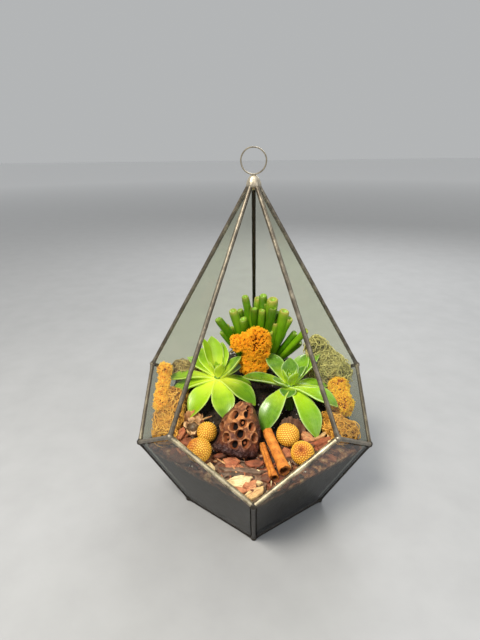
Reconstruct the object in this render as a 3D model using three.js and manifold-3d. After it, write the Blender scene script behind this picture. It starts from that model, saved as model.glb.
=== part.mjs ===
// Teardrop glass planter: a five-sided faceted case of clear panes held in soldered metal
// bars, one upper face left open, a hanging ring on the top point. Inside: dark soil, two
// green rosette succulents, a clump of finger-leaved jade, lichen and moss, a dried pod,
// four scaly fruits, two bark quills, a nut in its husk and a litter of bark chips.
// Millimetres, +Z up, the open face looks along -Y, the base rests on z = 0.
import * as THREE from "three";
import { mergeVertices } from "three/addons/utils/BufferGeometryUtils.js";
import Module from "manifold-3d";

const wasm = await Module();
wasm.setup();

// ---- driving dimensions -------------------------------------------------------------
const SIDES = 5;
const UPPER_R = 100; // upper zigzag corners, from the axis
const LOWER_R = 101; // lower zigzag corners, the widest point
const BASE_R = 63; // base corners
const LOWER_RISE = 70.5; // lower zigzag corners above the base corners
const BAR = 3.5; // width of a soldered bar
const GLASS = 2; // thickness of a pane
const GAP = 0.3; // clearance between two pieces that touch on the real thing
const RING_OUTER_D = 19.6;
const RING_BAND = 3.4; // width of the ring's flat band
const RING_THICK = 1.1;
const LEAF_LENGTH = 48; // an outer leaf of a rosette
const FINGER_R = 3.5; // a finger leaf of the jade
const FRUIT_R = 9.6; // the largest of the scaly fruits
const POD_R = 17.6;
const POD_HEIGHT = 37.5;
const QUILL_R = 4.3; // the thicker bark quill
const CHIP_LENGTH = 18; // a usual chip of the bark litter
const SEED = 20417;

// ---- sizes that follow from them ----------------------------------------------------
const STEP = (2 * Math.PI) / SIDES;
const HALF = STEP / 2;
const BASE_Z = BAR / 2; // the base bars lie on the table
const LOWER_Z = BASE_Z + LOWER_RISE;
// The panes are flat only where these two heights follow from the radii.
const UPPER_RISE =
  ((UPPER_R - BASE_R * Math.cos(HALF)) * LOWER_RISE) /
  ((LOWER_R - BASE_R) * Math.cos(HALF));
const FOLD = (UPPER_R * Math.cos(HALF)) / LOWER_R;
const APEX_RISE = (UPPER_RISE - LOWER_RISE * FOLD) / (1 - FOLD);
const UPPER_Z = BASE_Z + UPPER_RISE;
const APEX_Z = BASE_Z + APEX_RISE;
const CHAMFER = 0.55; // on the long edges of a bar
const SOLDER_R = 2.9; // blob of solder on a corner
const COLLAR_R = 7.2; // solder collar round the apex
const PANE_INSET = Math.hypot(BAR / 2, BAR / 2 - CHAMFER) + GAP + 0.05;
const LINING = 2.45; // what fills the case stays this far inside its faces
const UP = new THREE.Vector3(0, 0, 1);

// ---- small tools --------------------------------------------------------------------
const vec = (x, y, z) => new THREE.Vector3(x, y, z);
const rad = (degrees) => (degrees * Math.PI) / 180;
const mix = (a, b, t) => a + (b - a) * t;

// A point at radius r and height z; the angle runs from the open front towards +X.
const polar = (r, degrees, z) =>
  vec(r * Math.sin(rad(degrees)), -r * Math.cos(rad(degrees)), z);

function smooth(t) {
  const s = Math.min(1, Math.max(0, t));
  return s * s * (3 - 2 * s);
}

// A repeatable random source: each call gives the next number from 0 to 1.
function draws(seed) {
  let state = seed >>> 0;
  return () => {
    state = (Math.imul(state, 1664525) + 1013904223) >>> 0;
    return state / 4294967296;
  };
}

const MERGE = 1e-3; // corners nearer to each other than this are one corner

function solidOf(geometry) {
  const bare = geometry.clone();
  bare.deleteAttribute("normal");
  bare.deleteAttribute("uv");
  const merged = mergeVertices(bare, MERGE);
  return new wasm.Manifold(
    new wasm.Mesh({
      numProp: 3,
      vertProperties: new Float32Array(merged.attributes.position.array),
      triVerts: new Uint32Array(merged.index.array),
    }),
  );
}

function geometryOf(solid) {
  const mesh = solid.getMesh();
  const stride = mesh.numProp;
  const flat = new Float32Array((mesh.vertProperties.length / stride) * 3);
  for (let i = 0; i * 3 < flat.length; i++) {
    for (let k = 0; k < 3; k++) flat[i * 3 + k] = mesh.vertProperties[i * stride + k];
  }
  const geometry = new THREE.BufferGeometry();
  geometry.setAttribute("position", new THREE.BufferAttribute(flat, 3));
  geometry.setIndex(new THREE.BufferAttribute(new Uint32Array(mesh.triVerts), 1));
  return geometry;
}

function solidFrom(points, triangles) {
  return new wasm.Manifold(
    new wasm.Mesh({
      numProp: 3,
      vertProperties: new Float32Array(points.flatMap((p) => [p.x, p.y, p.z])),
      triVerts: new Uint32Array(triangles.flat()),
    }),
  );
}

const fuse = (solids) => solids.reduce((sum, s) => sum.add(s));

// A skin over rings of equal count, each ring anticlockwise seen from the far end.
// The ends are closed by a fan, from the ring's own first corner or from a given point.
function loft(rings, startPoint = null, endPoint = null) {
  const count = rings[0].length;
  const points = rings.flat();
  const faces = [];
  for (let r = 0; r + 1 < rings.length; r++) {
    for (let i = 0; i < count; i++) {
      const a = r * count + i;
      const b = r * count + ((i + 1) % count);
      faces.push([a, b, b + count], [a, b + count, a + count]);
    }
  }
  const last = (rings.length - 1) * count;
  if (startPoint) {
    const tip = points.push(startPoint) - 1;
    for (let i = 0; i < count; i++) faces.push([tip, (i + 1) % count, i]);
  } else {
    for (let i = 1; i + 1 < count; i++) faces.push([0, i + 1, i]);
  }
  if (endPoint) {
    const tip = points.push(endPoint) - 1;
    for (let i = 0; i < count; i++) {
      faces.push([tip, last + i, last + ((i + 1) % count)]);
    }
  } else {
    for (let i = 1; i + 1 < count; i++) faces.push([last, last + i, last + i + 1]);
  }
  return solidFrom(points, faces);
}

// Two directions across an axis; the first lies as close to `hint` as it can.
function across(axis, hint) {
  const first = hint.clone().addScaledVector(axis, -hint.dot(axis)).normalize();
  const second = axis.clone().cross(first).normalize();
  return [first, second];
}

// A ring of corners round a centre, radius given by angle.
function ringAt(centre, first, second, count, radius, turn = 0) {
  return Array.from({ length: count }, (_, i) => {
    const a = turn + (i / count) * 2 * Math.PI;
    const r = typeof radius === "function" ? radius(a) : radius;
    return centre
      .clone()
      .addScaledVector(first, r * Math.cos(a))
      .addScaledVector(second, r * Math.sin(a));
  });
}

// A rounded lump: rows of rings between two poles on `axis`, radii scaled by `stretch`.
function lump(centre, stretch, rows, sides, wobble = () => 1) {
  const place = (theta, phi) => {
    const k = wobble(theta, phi);
    return vec(
      centre.x + stretch.x * k * Math.sin(theta) * Math.cos(phi),
      centre.y + stretch.y * k * Math.sin(theta) * Math.sin(phi),
      centre.z - stretch.z * k * Math.cos(theta),
    );
  };
  const rings = [];
  for (let r = 1; r < rows; r++) {
    const theta = (r / rows) * Math.PI;
    rings.push(
      Array.from({ length: sides }, (_, i) =>
        place(theta, ((i + (r % 2) / 2) / sides) * 2 * Math.PI),
      ),
    );
  }
  return loft(rings, place(0, 0), place(Math.PI, 0));
}

// The body of greatest volume: a cut can leave loose scraps or a sealed hollow. Corners
// that nearly meet are merged first, because that can close the way into a hollow.
function largest(solid) {
  const mesh = solidOf(geometryOf(solid)).getMesh();
  const at = (i, k) => mesh.vertProperties[i * mesh.numProp + k];
  const count = mesh.triVerts.length / 3;
  const corners = (t) => [0, 1, 2].map((k) => mesh.triVerts[3 * t + k]);
  const owner = Array.from({ length: count }, (_, t) => t);
  const find = (t) => {
    let j = t;
    while (owner[j] !== j) {
      owner[j] = owner[owner[j]];
      j = owner[j];
    }
    return j;
  };
  // Two triangles belong to one body where they share an edge.
  const edges = new Map();
  for (let t = 0; t < count; t++) {
    const own = corners(t);
    own.forEach((a, k) => {
      const b = own[(k + 1) % 3];
      const key = `${Math.min(a, b)},${Math.max(a, b)}`;
      if (edges.has(key)) owner[find(t)] = find(edges.get(key));
      else edges.set(key, t);
    });
  }
  const parts = new Map();
  for (let t = 0; t < count; t++) {
    const key = find(t);
    if (!parts.has(key)) parts.set(key, { volume: 0, faces: [] });
    const [a, b, c] = corners(t).map((i) => vec(at(i, 0), at(i, 1), at(i, 2)));
    parts.get(key).volume += a.dot(b.cross(c)) / 6;
    parts.get(key).faces.push(corners(t));
  }
  const best = [...parts.values()].sort((a, b) => b.volume - a.volume)[0];
  const used = [...new Set(best.faces.flat())];
  const slot = new Map(used.map((v, i) => [v, i]));
  return solidFrom(
    used.map((i) => vec(at(i, 0), at(i, 1), at(i, 2))),
    best.faces.map((f) => f.map((v) => slot.get(v))),
  );
}

// ---- finishes -----------------------------------------------------------------------
const finish = (hex, roughness, metalness = 0, extra = {}) => ({
  color: hex,
  roughness,
  metalness,
  ...extra,
});
const PATINA = finish(0x4a4238, 0.45, 0.8);
const SOLDER = finish(0x8b8577, 0.35, 0.9);
const CLEAR = finish(0xbfc9c6, 0.05, 0, { transparent: true, opacity: 0.25 });
const EARTH = finish(0x17120f, 0.95);
const LIME = finish(0x9fce2e, 0.4);
const FINGER_GREEN = finish(0x5aa015, 0.4);
const ORANGE = finish(0xf28a1e, 0.9);
const GOLDEN = finish(0xb98534, 0.95);
const OLIVE = finish(0x8f8f4c, 0.95);
const UMBER = finish(0x6b5a35, 0.95);
const POD_BROWN = finish(0x5b2c1d, 0.7);
const FRUIT_YELLOW = finish(0xe0a52a, 0.6);
const CINNAMON = finish(0xc9741f, 0.75);
const HUSK_TAN = finish(0xa9744a, 0.8);
const NUT_BROWN = finish(0x4b3226, 0.5);
const CHIP_BROWN = finish(0x8e5338, 0.85);

const terrarium = new THREE.Group();
terrarium.name = "terrarium";

function addNode(name, solid, look) {
  const geometry = geometryOf(solid);
  geometry.computeVertexNormals();
  const node = new THREE.Mesh(geometry, new THREE.MeshStandardMaterial(look));
  node.name = name;
  terrarium.add(node);
}

// ---- the corners of the case --------------------------------------------------------
const apex = vec(0, 0, APEX_Z);
const turn = 360 / SIDES;
const upperCorner = (i) => polar(UPPER_R, turn * i + turn / 2, UPPER_Z);
const lowerCorner = (i) => polar(LOWER_R, turn * i, LOWER_Z);
const baseCorner = (i) => polar(BASE_R, turn * i, BASE_Z);

// ---- soldered bars ------------------------------------------------------------------
const barSection = () => {
  const h = BAR / 2;
  const c = BAR / 2 - CHAMFER;
  return [
    [h, -c],
    [h, c],
    [c, h],
    [-c, h],
    [-h, c],
    [-h, -c],
    [-c, -h],
    [c, -h],
  ];
};

// A straight bar between two corners, cut back by `backA` and `backB`.
function bar(a, b, outward, backA, backB) {
  const along = b.clone().sub(a).normalize();
  const [out, side] = across(along, outward);
  const ring = (centre) =>
    barSection().map(([u, v]) =>
      centre.clone().addScaledVector(out, u).addScaledVector(side, v),
    );
  return loft([
    ring(a.clone().addScaledVector(along, backA)),
    ring(b.clone().addScaledVector(along, -backB)),
  ]);
}

const blob = (p) => lump(p, vec(SOLDER_R, SOLDER_R, SOLDER_R), 3, 6);

// Everything above the table top, to trim solder that would hang below it.
const aboveTable = () => {
  const size = 4 * LOWER_R;
  return solidOf(new THREE.BoxGeometry(size, size, size).translate(0, 0, size / 2));
};

const CLEAR_OF_BLOB = SOLDER_R + GAP + 0.05;
const CLEAR_OF_COLLAR = COLLAR_R + GAP + 0.1;
const radial = (p) => vec(p.x, p.y, 0).normalize();

for (let i = 0; i < SIDES; i++) {
  const up = upperCorner(i);
  const low = lowerCorner(i);
  const base = baseCorner(i);
  const nextLow = lowerCorner(i + 1);
  const nextBase = baseCorner(i + 1);
  addNode(
    `upper_bar_${i + 1}`,
    bar(apex, up, radial(up), CLEAR_OF_COLLAR, 0).add(blob(up)),
    PATINA,
  );
  addNode(
    `zigzag_bar_${i + 1}_rise`,
    bar(low, up, radial(low.clone().add(up)), CLEAR_OF_BLOB, CLEAR_OF_BLOB),
    PATINA,
  );
  addNode(
    `zigzag_bar_${i + 1}_fall`,
    bar(up, nextLow, radial(up.clone().add(nextLow)), CLEAR_OF_BLOB, CLEAR_OF_BLOB),
    PATINA,
  );
  addNode(
    `lower_bar_${i + 1}`,
    bar(base, low, radial(low), CLEAR_OF_BLOB, 0).add(blob(low)),
    PATINA,
  );
  addNode(
    `base_bar_${i + 1}`,
    bar(base, nextBase, vec(0, 0, -1), 0, CLEAR_OF_BLOB)
      .add(blob(base))
      .intersect(aboveTable()),
    PATINA,
  );
}

// ---- glass --------------------------------------------------------------------------
// Keeps the part of a convex outline on the far side of a line.
function clip(outline, point, inward) {
  const depth = (p) => (p[0] - point[0]) * inward[0] + (p[1] - point[1]) * inward[1];
  const kept = [];
  outline.forEach((p, i) => {
    const q = outline[(i + 1) % outline.length];
    const dp = depth(p);
    const dq = depth(q);
    if (dp >= 0) kept.push(p);
    if (dp * dq < 0) {
      const t = dp / (dp - dq);
      kept.push([mix(p[0], q[0], t), mix(p[1], q[1], t)]);
    }
  });
  return kept;
}

// A flat pane between coplanar corners, its edges and corners kept clear of the bars.
function pane(corners) {
  const origin = corners[0];
  const along = corners[1].clone().sub(origin).normalize();
  const normal = along
    .clone()
    .cross(corners[2].clone().sub(origin))
    .normalize();
  const side = normal.clone().cross(along);
  const flat = corners.map((p) => {
    const d = p.clone().sub(origin);
    return [d.dot(along), d.dot(side)];
  });
  let outline = flat;
  flat.forEach((p, i) => {
    const q = flat[(i + 1) % flat.length];
    const before = flat[(i + flat.length - 1) % flat.length];
    const run = Math.hypot(q[0] - p[0], q[1] - p[1]);
    const inward = [-(q[1] - p[1]) / run, (q[0] - p[0]) / run];
    outline = clip(
      outline,
      [p[0] + inward[0] * PANE_INSET, p[1] + inward[1] * PANE_INSET],
      inward,
    );
    const back = Math.hypot(before[0] - p[0], before[1] - p[1]);
    const bisector = [
      (q[0] - p[0]) / run + (before[0] - p[0]) / back,
      (q[1] - p[1]) / run + (before[1] - p[1]) / back,
    ];
    const size = Math.hypot(...bisector);
    const cut = corners[i].distanceTo(apex) < 1 ? CLEAR_OF_COLLAR + GAP : CLEAR_OF_BLOB;
    const ahead = bisector.map((b) => b / size);
    outline = clip(outline, [p[0] + ahead[0] * cut, p[1] + ahead[1] * cut], ahead);
  });
  const layer = (offset) =>
    outline.map(([u, v]) =>
      origin
        .clone()
        .addScaledVector(along, u)
        .addScaledVector(side, v)
        .addScaledVector(normal, offset),
    );
  return loft([layer(-GLASS / 2), layer(GLASS / 2)]);
}

for (let i = 0; i < SIDES; i++) {
  // The kite round lower corner 0 is the open one.
  if (i > 0) {
    addNode(
      `upper_pane_${i}`,
      pane([apex, upperCorner(i - 1), lowerCorner(i), upperCorner(i)]),
      CLEAR,
    );
  }
  addNode(
    `lower_pane_${i + 1}`,
    pane([
      baseCorner(i),
      baseCorner(i + 1),
      lowerCorner(i + 1),
      upperCorner(i),
      lowerCorner(i),
    ]),
    CLEAR,
  );
}
addNode("base_pane", pane([0, 1, 2, 3, 4].map(baseCorner)), CLEAR);

// ---- solder collar and hanging ring -------------------------------------------------
function solderCollar() {
  // Heights are from the apex; the underside follows a ball round it, above the bar ends.
  const ball = (degrees) => [
    COLLAR_R * Math.sin(rad(degrees)),
    -COLLAR_R * Math.cos(rad(degrees)),
  ];
  const profile = [ball(24), ball(44), [4.6, -2.4], [3, -0.2], [1.9, 0.9]];
  const lobes = (a) => 1 + 0.05 * Math.sin(3 * a + 0.6) - 0.04;
  const rings = profile.map(([r, z]) =>
    ringAt(vec(0, 0, APEX_Z + z), vec(1, 0, 0), vec(0, 1, 0), 10, (a) => r * lobes(a)),
  );
  return loft(rings);
}

const RING_Z = APEX_Z + 0.9 + GAP + RING_OUTER_D / 2;

function hangingRing() {
  const segments = 24;
  const outer = RING_OUTER_D / 2;
  const inner = outer - RING_THICK;
  const section = [
    [inner, -RING_BAND / 2],
    [outer, -RING_BAND / 2],
    [outer, RING_BAND / 2],
    [inner, RING_BAND / 2],
  ];
  const points = [];
  const faces = [];
  for (let i = 0; i < segments; i++) {
    const a = (i / segments) * 2 * Math.PI;
    section.forEach(([r, y]) =>
      points.push(vec(r * Math.cos(a), y, RING_Z + r * Math.sin(a))),
    );
    for (let k = 0; k < 4; k++) {
      const p = i * 4 + k;
      const q = i * 4 + ((k + 1) % 4);
      const r = ((i + 1) % segments) * 4 + k;
      const s = ((i + 1) % segments) * 4 + ((k + 1) % 4);
      faces.push([p, q, s], [p, s, r]);
    }
  }
  return solidFrom(points, faces);
}

addNode("apex_solder", solderCollar(), SOLDER);
addNode("hanging_ring", hangingRing(), PATINA);

// ---- room inside the case -----------------------------------------------------------
// A face of the case: a point on it and the direction that leads out of the case.
function faceThrough(a, b, c) {
  const out = b.clone().sub(a).cross(c.clone().sub(a)).normalize();
  if (out.dot(a.clone().sub(vec(0, 0, LOWER_Z))) < 0) out.negate();
  return { at: a, out };
}

const floorFace = faceThrough(baseCorner(0), baseCorner(1), baseCorner(2));
const slantingFaces = Array.from({ length: SIDES }, (_, i) => [
  faceThrough(baseCorner(i), baseCorner(i + 1), lowerCorner(i)),
  faceThrough(apex, upperCorner(i), lowerCorner(i + 1)),
]).flat();

// The half of space behind a face, moved `inset` towards the middle of the case.
function behindFace({ at, out }, inset) {
  const size = 6 * LOWER_R;
  const box = new THREE.BoxGeometry(size, size, size);
  box.applyQuaternion(new THREE.Quaternion().setFromUnitVectors(UP, out));
  box.translate(...at.clone().addScaledVector(out, -inset - size / 2).toArray());
  return solidOf(box);
}

const inside = slantingFaces.reduce(
  (space, face) => space.intersect(behindFace(face, LINING)),
  behindFace(floorFace, LINING),
);

// Moves the middle of a rounded thing until all of it is inside the slanting faces.
function keepInside(middle, size) {
  const moved = middle.clone();
  slantingFaces.forEach(({ at, out }) => {
    const reach = LINING + size.clone().multiply(out).length();
    const over = moved.clone().sub(at).dot(out) + reach;
    if (over > 0) moved.addScaledVector(out, -over);
  });
  return moved;
}

// Height of the soil: low at the open front, banked up towards the back.
const soilHeight = (x, y) =>
  LOWER_Z -
  7 +
  31 * smooth((y + 60) / 150) +
  0.8 * Math.sin(x / 17 + 1.3) * Math.cos(y / 15) +
  0.5 * Math.sin(x / 25 - y / 21);

// A block whose top follows the soil, lifted by `lift`.
function soilBlock(lift) {
  const cells = 12;
  const reach = 108;
  const at = (k) => -reach + (2 * reach * k) / cells;
  const points = [];
  const faces = [];
  for (let j = 0; j <= cells; j++) {
    for (let i = 0; i <= cells; i++) {
      points.push(vec(at(i), at(j), soilHeight(at(i), at(j)) + lift));
    }
  }
  const low = points.length;
  const rim = [];
  for (let i = 0; i < cells; i++) rim.push([i, 0]);
  for (let j = 0; j < cells; j++) rim.push([cells, j]);
  for (let i = cells; i > 0; i--) rim.push([i, cells]);
  for (let j = cells; j > 0; j--) rim.push([0, j]);
  rim.forEach(([i, j]) => points.push(vec(at(i), at(j), -10)));
  const id = (i, j) => j * (cells + 1) + i;
  for (let j = 0; j < cells; j++) {
    for (let i = 0; i < cells; i++) {
      faces.push(
        [id(i, j), id(i + 1, j), id(i + 1, j + 1)],
        [id(i, j), id(i + 1, j + 1), id(i, j + 1)],
      );
    }
  }
  rim.forEach(([i, j], k) => {
    const n = (k + 1) % rim.length;
    const [ni, nj] = rim[n];
    faces.push([id(i, j), low + k, low + n], [id(i, j), low + n, id(ni, nj)]);
    if (k > 0 && k + 1 < rim.length) faces.push([low, low + n, low + k]);
  });
  return solidFrom(points, faces);
}

// How far a point is from the lining and from the soil, whichever is nearer.
const clearance = (point) =>
  Math.min(
    point.z - soilHeight(point.x, point.y) - GAP,
    ...slantingFaces.map(({ at, out }) => at.clone().sub(point).dot(out) - LINING),
  );

const ground = soilBlock(GAP + 0.05);
const onGround = (solid) => largest(solid.subtract(ground).intersect(inside));

// ---- rosettes -----------------------------------------------------------------------
// A fleshy spoon leaf: it leaves `root` towards `degrees`, climbing at `rise`, and its
// climb changes by `bend` along the way. A cross-section has a groove above and a keel.
function spoonLeaf(root, degrees, rise, bend, length, width) {
  const stations = [0, 0.22, 0.46, 0.68, 0.88, 1];
  const widths = [0.34, 0.52, 0.86, 1, 0.64, 0.07];
  const depths = [0.17, 0.17, 0.16, 0.14, 0.1, 0.05];
  const flat = radial(polar(1, degrees, 0));
  const side = vec(-flat.y, flat.x, 0);
  const centre = root.clone();
  let travelled = 0;
  const rings = stations.map((t, i) => {
    const climb = rad(rise + bend * t);
    const along = flat.clone().multiplyScalar(Math.cos(climb)).addScaledVector(UP, Math.sin(climb));
    const over = UP.clone().multiplyScalar(Math.cos(climb)).addScaledVector(flat, -Math.sin(climb));
    centre.addScaledVector(along, (t - travelled) * length);
    travelled = t;
    const w = (widths[i] * width) / 2;
    const d = depths[i] * width;
    const cup = 0.2 * w;
    return [
      [w, cup],
      [0, d * 0.3],
      [-w, cup],
      [0, -d],
    ].map(([u, v]) => centre.clone().addScaledVector(side, u).addScaledVector(over, v));
  });
  return loft(rings);
}

const STEM_R = 4.4;
const STEM_SINK = 12; // how deep the stems stand in the soil

// One rosette: its outer leaves lie as they do on the real plant, the heart follows the
// golden angle, and a short stem carries it.
function rosette(centre, outer, hearts, stemFoot) {
  const root = centre.clone().addScaledVector(UP, -7);
  const leaves = outer.map(([degrees, rise, bend, length, width]) =>
    spoonLeaf(root, degrees, rise, bend, length, width),
  );
  for (let k = 0; k < hearts; k++) {
    const t = k / hearts;
    leaves.push(
      spoonLeaf(root, 137.5 * k + 20, mix(52, 82, t), 6, mix(22, 11, t), mix(13, 6, t)),
    );
  }
  const stem = loft(
    [stemFoot, root.z + 3].map((z) =>
      ringAt(vec(root.x, root.y, z), vec(1, 0, 0), vec(0, 1, 0), 8, STEM_R),
    ),
  );
  return fuse([stem, ...leaves]);
}

// Outer leaves: direction, climb at the root, change of climb, length, width.
const L = LEAF_LENGTH;
const LEFT_LEAVES = [
  [-33, 6, -54, L, 0.46 * L],
  [13, 8, -52, L, 0.47 * L],
  [51, 12, -44, L, 0.45 * L],
  [-70, 10, -32, L, 0.4 * L],
  [-82, 24, -36, 1.04 * L, 0.34 * L],
  [-108, 40, -18, 0.74 * L, 0.38 * L],
  [-133, 46, -6, 0.72 * L, 0.42 * L],
  [-116, 66, 4, 0.86 * L, 0.3 * L],
  [-156, 66, 2, 0.84 * L, 0.42 * L],
  [168, 56, 4, 0.72 * L, 0.38 * L],
  [100, 36, 12, 0.64 * L, 0.4 * L],
  [128, 12, 10, 0.7 * L, 0.38 * L],
  [85, 2, -20, 0.68 * L, 0.38 * L],
];
const RIGHT_LEAVES = [
  [-38, 4, -66, 1.06 * L, 0.46 * L],
  [29, 2, -58, 1.12 * L, 0.46 * L],
  [57, 18, -40, L, 0.44 * L],
  [-101, 22, -26, 0.92 * L, 0.38 * L],
  [-146, 34, -10, 0.86 * L, 0.38 * L],
  [134, 50, -4, 0.7 * L, 0.4 * L],
  [112, 46, -4, 0.84 * L, 0.34 * L],
  [96, 52, 4, 0.5 * L, 0.3 * L],
  [178, 62, 10, 0.54 * L, 0.36 * L],
  [-72, 26, 8, 0.4 * L, 0.32 * L],
  [92, 14, -24, 0.72 * L, 0.38 * L],
  [-14, 14, -40, 0.34 * L, 0.34 * L],
];
const leftCentre = vec(-34, 30, 105 + BASE_Z);
const rightCentre = vec(32.3, 12, 107 + BASE_Z);
const stemFootOf = (c) => soilHeight(c.x, c.y) - STEM_SINK;
const leftRosette = rosette(leftCentre, LEFT_LEAVES, 6, stemFootOf(leftCentre));
const rightRosette = rosette(rightCentre, RIGHT_LEAVES, 6, stemFootOf(rightCentre));

// ---- finger-leaved jade -------------------------------------------------------------
// A finger leaf: round, a little wider upwards, its tip a shallow dish.
function finger(foot, tip, radius) {
  const along = tip.clone().sub(foot).normalize();
  const [first, second] = across(along, vec(1, 0, 0));
  const length = foot.distanceTo(tip);
  const ring = (t, r) =>
    ringAt(foot.clone().addScaledVector(along, t * length), first, second, 5, r);
  const dish = tip.clone().addScaledVector(along, -0.45 * radius);
  return loft(
    [ring(0, 0.62 * radius), ring(0.93, radius), ring(1, 0.8 * radius)],
    null,
    dish,
  );
}

const jadeFoot = vec(5, 64, 96 + BASE_Z);
const TRUNK_R = 6;
// Tips of the fingers as they stand on the real plant, with their thickness.
const FINGER_TIPS = [
  [-33.3, 43, 153, 0.9],
  [-27, 50, 144, 0.8],
  [-19.6, 47, 160, 1.15],
  [-8.2, 46, 174, 1],
  [-10.2, 46, 152, 1.1],
  [-4.6, 48, 163, 0.7],
  [0.4, 44, 163, 0.8],
  [7.6, 42, 162, 0.8],
  [10.6, 46, 168, 0.8],
  [3.8, 51, 171, 1],
  [10.2, 50, 176, 1.1],
  [19.4, 44, 175, 1.35],
  [17.6, 38, 166, 0.9],
  [29, 42, 163, 1.15],
  [35, 46, 156, 1],
  [44, 50, 128, 1.1],
  [49, 40, 144, 0.85],
  [-14, 56, 158, 0.9],
  [24, 54, 160, 0.9],
  [6, 62, 158, 0.9],
  [-24, 62, 138, 0.9],
  [32, 62, 138, 0.9],
];

function jade() {
  const fingers = FINGER_TIPS.map(([x, y, z, k]) => {
    const radius = FINGER_R * k;
    const tip = keepInside(vec(x, y, z + BASE_Z), vec(radius, radius, radius));
    const foot = vec(
      jadeFoot.x + (tip.x - jadeFoot.x) * 0.32,
      jadeFoot.y + (tip.y - jadeFoot.y) * 0.2,
      jadeFoot.z + 2,
    );
    return finger(foot, tip, radius);
  });
  const crown = lump(jadeFoot.clone().addScaledVector(UP, 3), vec(16, 8, 6), 4, 8);
  const trunk = loft(
    [soilHeight(jadeFoot.x, jadeFoot.y) - STEM_SINK, jadeFoot.z].map((z) =>
      ringAt(vec(jadeFoot.x, jadeFoot.y, z), vec(1, 0, 0), vec(0, 1, 0), 8, TRUNK_R),
    ),
  );
  return fuse([trunk, crown, ...fingers]);
}

// ---- lichen and moss ----------------------------------------------------------------
// Directions spread evenly over a ball by the golden angle.
function spread(k, count) {
  const z = 1 - (2 * (k + 0.5)) / count;
  const r = Math.sqrt(1 - z * z);
  const a = rad(137.508 * k);
  return vec(r * Math.cos(a), r * Math.sin(a), z);
}

// A blunt three-sided twig of lichen standing on a lobe.
function twig(foot, along, length, radius) {
  const [first, second] = across(along, Math.abs(along.x) < 0.8 ? vec(1, 0, 0) : vec(0, 1, 0));
  const ring = (t, r) =>
    ringAt(foot.clone().addScaledVector(along, t * length), first, second, 3, r);
  const tip = foot.clone().addScaledVector(along, length);
  return loft([ring(0, radius * 0.9), ring(0.8, radius)], null, tip);
}

// Rods from lobe to lobe, under their surface, so that a mound holds together.
const bridges = (centres, radius) =>
  centres.slice(1).map((to, i) => {
    const from = centres[i];
    const [first, second] = across(to.clone().sub(from).normalize(), UP);
    return loft([from, to].map((p) => ringAt(p, first, second, 5, radius)));
  });

const TWIG_R = 2.4;
const TWIG_REACH = 3.2; // how far the twigs stand out of a lobe
const STRAND_R = 1.15;
const LICHEN_BRIDGE_R = 3;
const MOSS_BRIDGE_R = 5;

// Reindeer lichen: crowded blunt twigs standing out of smaller lobes. A lobe is given by
// its middle, its half-widths and its count of twigs.
function lichen(lobes, seed) {
  const draw = draws(seed);
  const pieces = [];
  const centres = [];
  lobes.forEach(([x, y, z, rx, ry, rz, count]) => {
    const size = vec(rx, ry, rz);
    const centre = keepInside(vec(x, y, z + BASE_Z), size);
    centres.push(centre);
    const core = size.clone().subScalar(TWIG_REACH);
    pieces.push(lump(centre, core, 4, 7));
    for (let k = 0; k < count; k++) {
      const d = spread(k, count);
      d.x += 0.18 * (draw() - 0.5);
      d.z += 0.18 * (draw() - 0.5);
      d.normalize();
      const sunk = 0.72 * d.clone().multiply(core).length();
      const length = d.clone().multiply(size).length() - sunk + 1.2 * (draw() - 0.5);
      const foot = centre.clone().addScaledVector(d, sunk);
      const radius = TWIG_R + 0.6 * draw();
      const tip = foot.clone().addScaledVector(d, length);
      if (clearance(tip) > 0.4 * radius) pieces.push(twig(foot, d, length, radius));
    }
  });
  return fuse([...pieces, ...bridges(centres, LICHEN_BRIDGE_R)]);
}

// Strand moss: bent strands that arch over a smaller lump and dip back into it.
function strandMoss(lobes, seed) {
  const draw = draws(seed);
  const pieces = [];
  const centres = [];
  lobes.forEach(([x, y, z, rx, ry, rz, count]) => {
    const size = vec(rx, ry, rz);
    const centre = keepInside(vec(x, y, z + BASE_Z), size.clone().addScalar(STRAND_R));
    centres.push(centre);
    pieces.push(lump(centre, size.clone().multiplyScalar(0.8), 4, 7));
    for (let k = 0; k < count; k++) {
      const start = spread(k, count);
      const heading = vec(draw() - 0.5, draw() - 0.5, draw() - 0.5);
      const [run] = across(start, heading);
      const arc = 1 + 0.5 * draw();
      const path = [
        [-0.5, 0.5],
        [-0.2, 0.98],
        [0.2, 1.02],
        [0.5, 0.5],
      ].map(([t, lift]) => {
        const d = start.clone().addScaledVector(run, Math.tan(arc * t)).normalize();
        return centre.clone().add(d.multiply(size).multiplyScalar(lift));
      });
      if (path.some((middle) => clearance(middle) < STRAND_R)) continue;
      const rings = path.map((middle, i) => {
        const from = path[Math.max(0, i - 1)];
        const to = path[Math.min(path.length - 1, i + 1)];
        const [first, second] = across(to.clone().sub(from).normalize(), start);
        return ringAt(middle, first, second, 3, STRAND_R);
      });
      pieces.push(loft(rings));
    }
  });
  return fuse([...pieces, ...bridges(centres, MOSS_BRIDGE_R)]);
}

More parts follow.
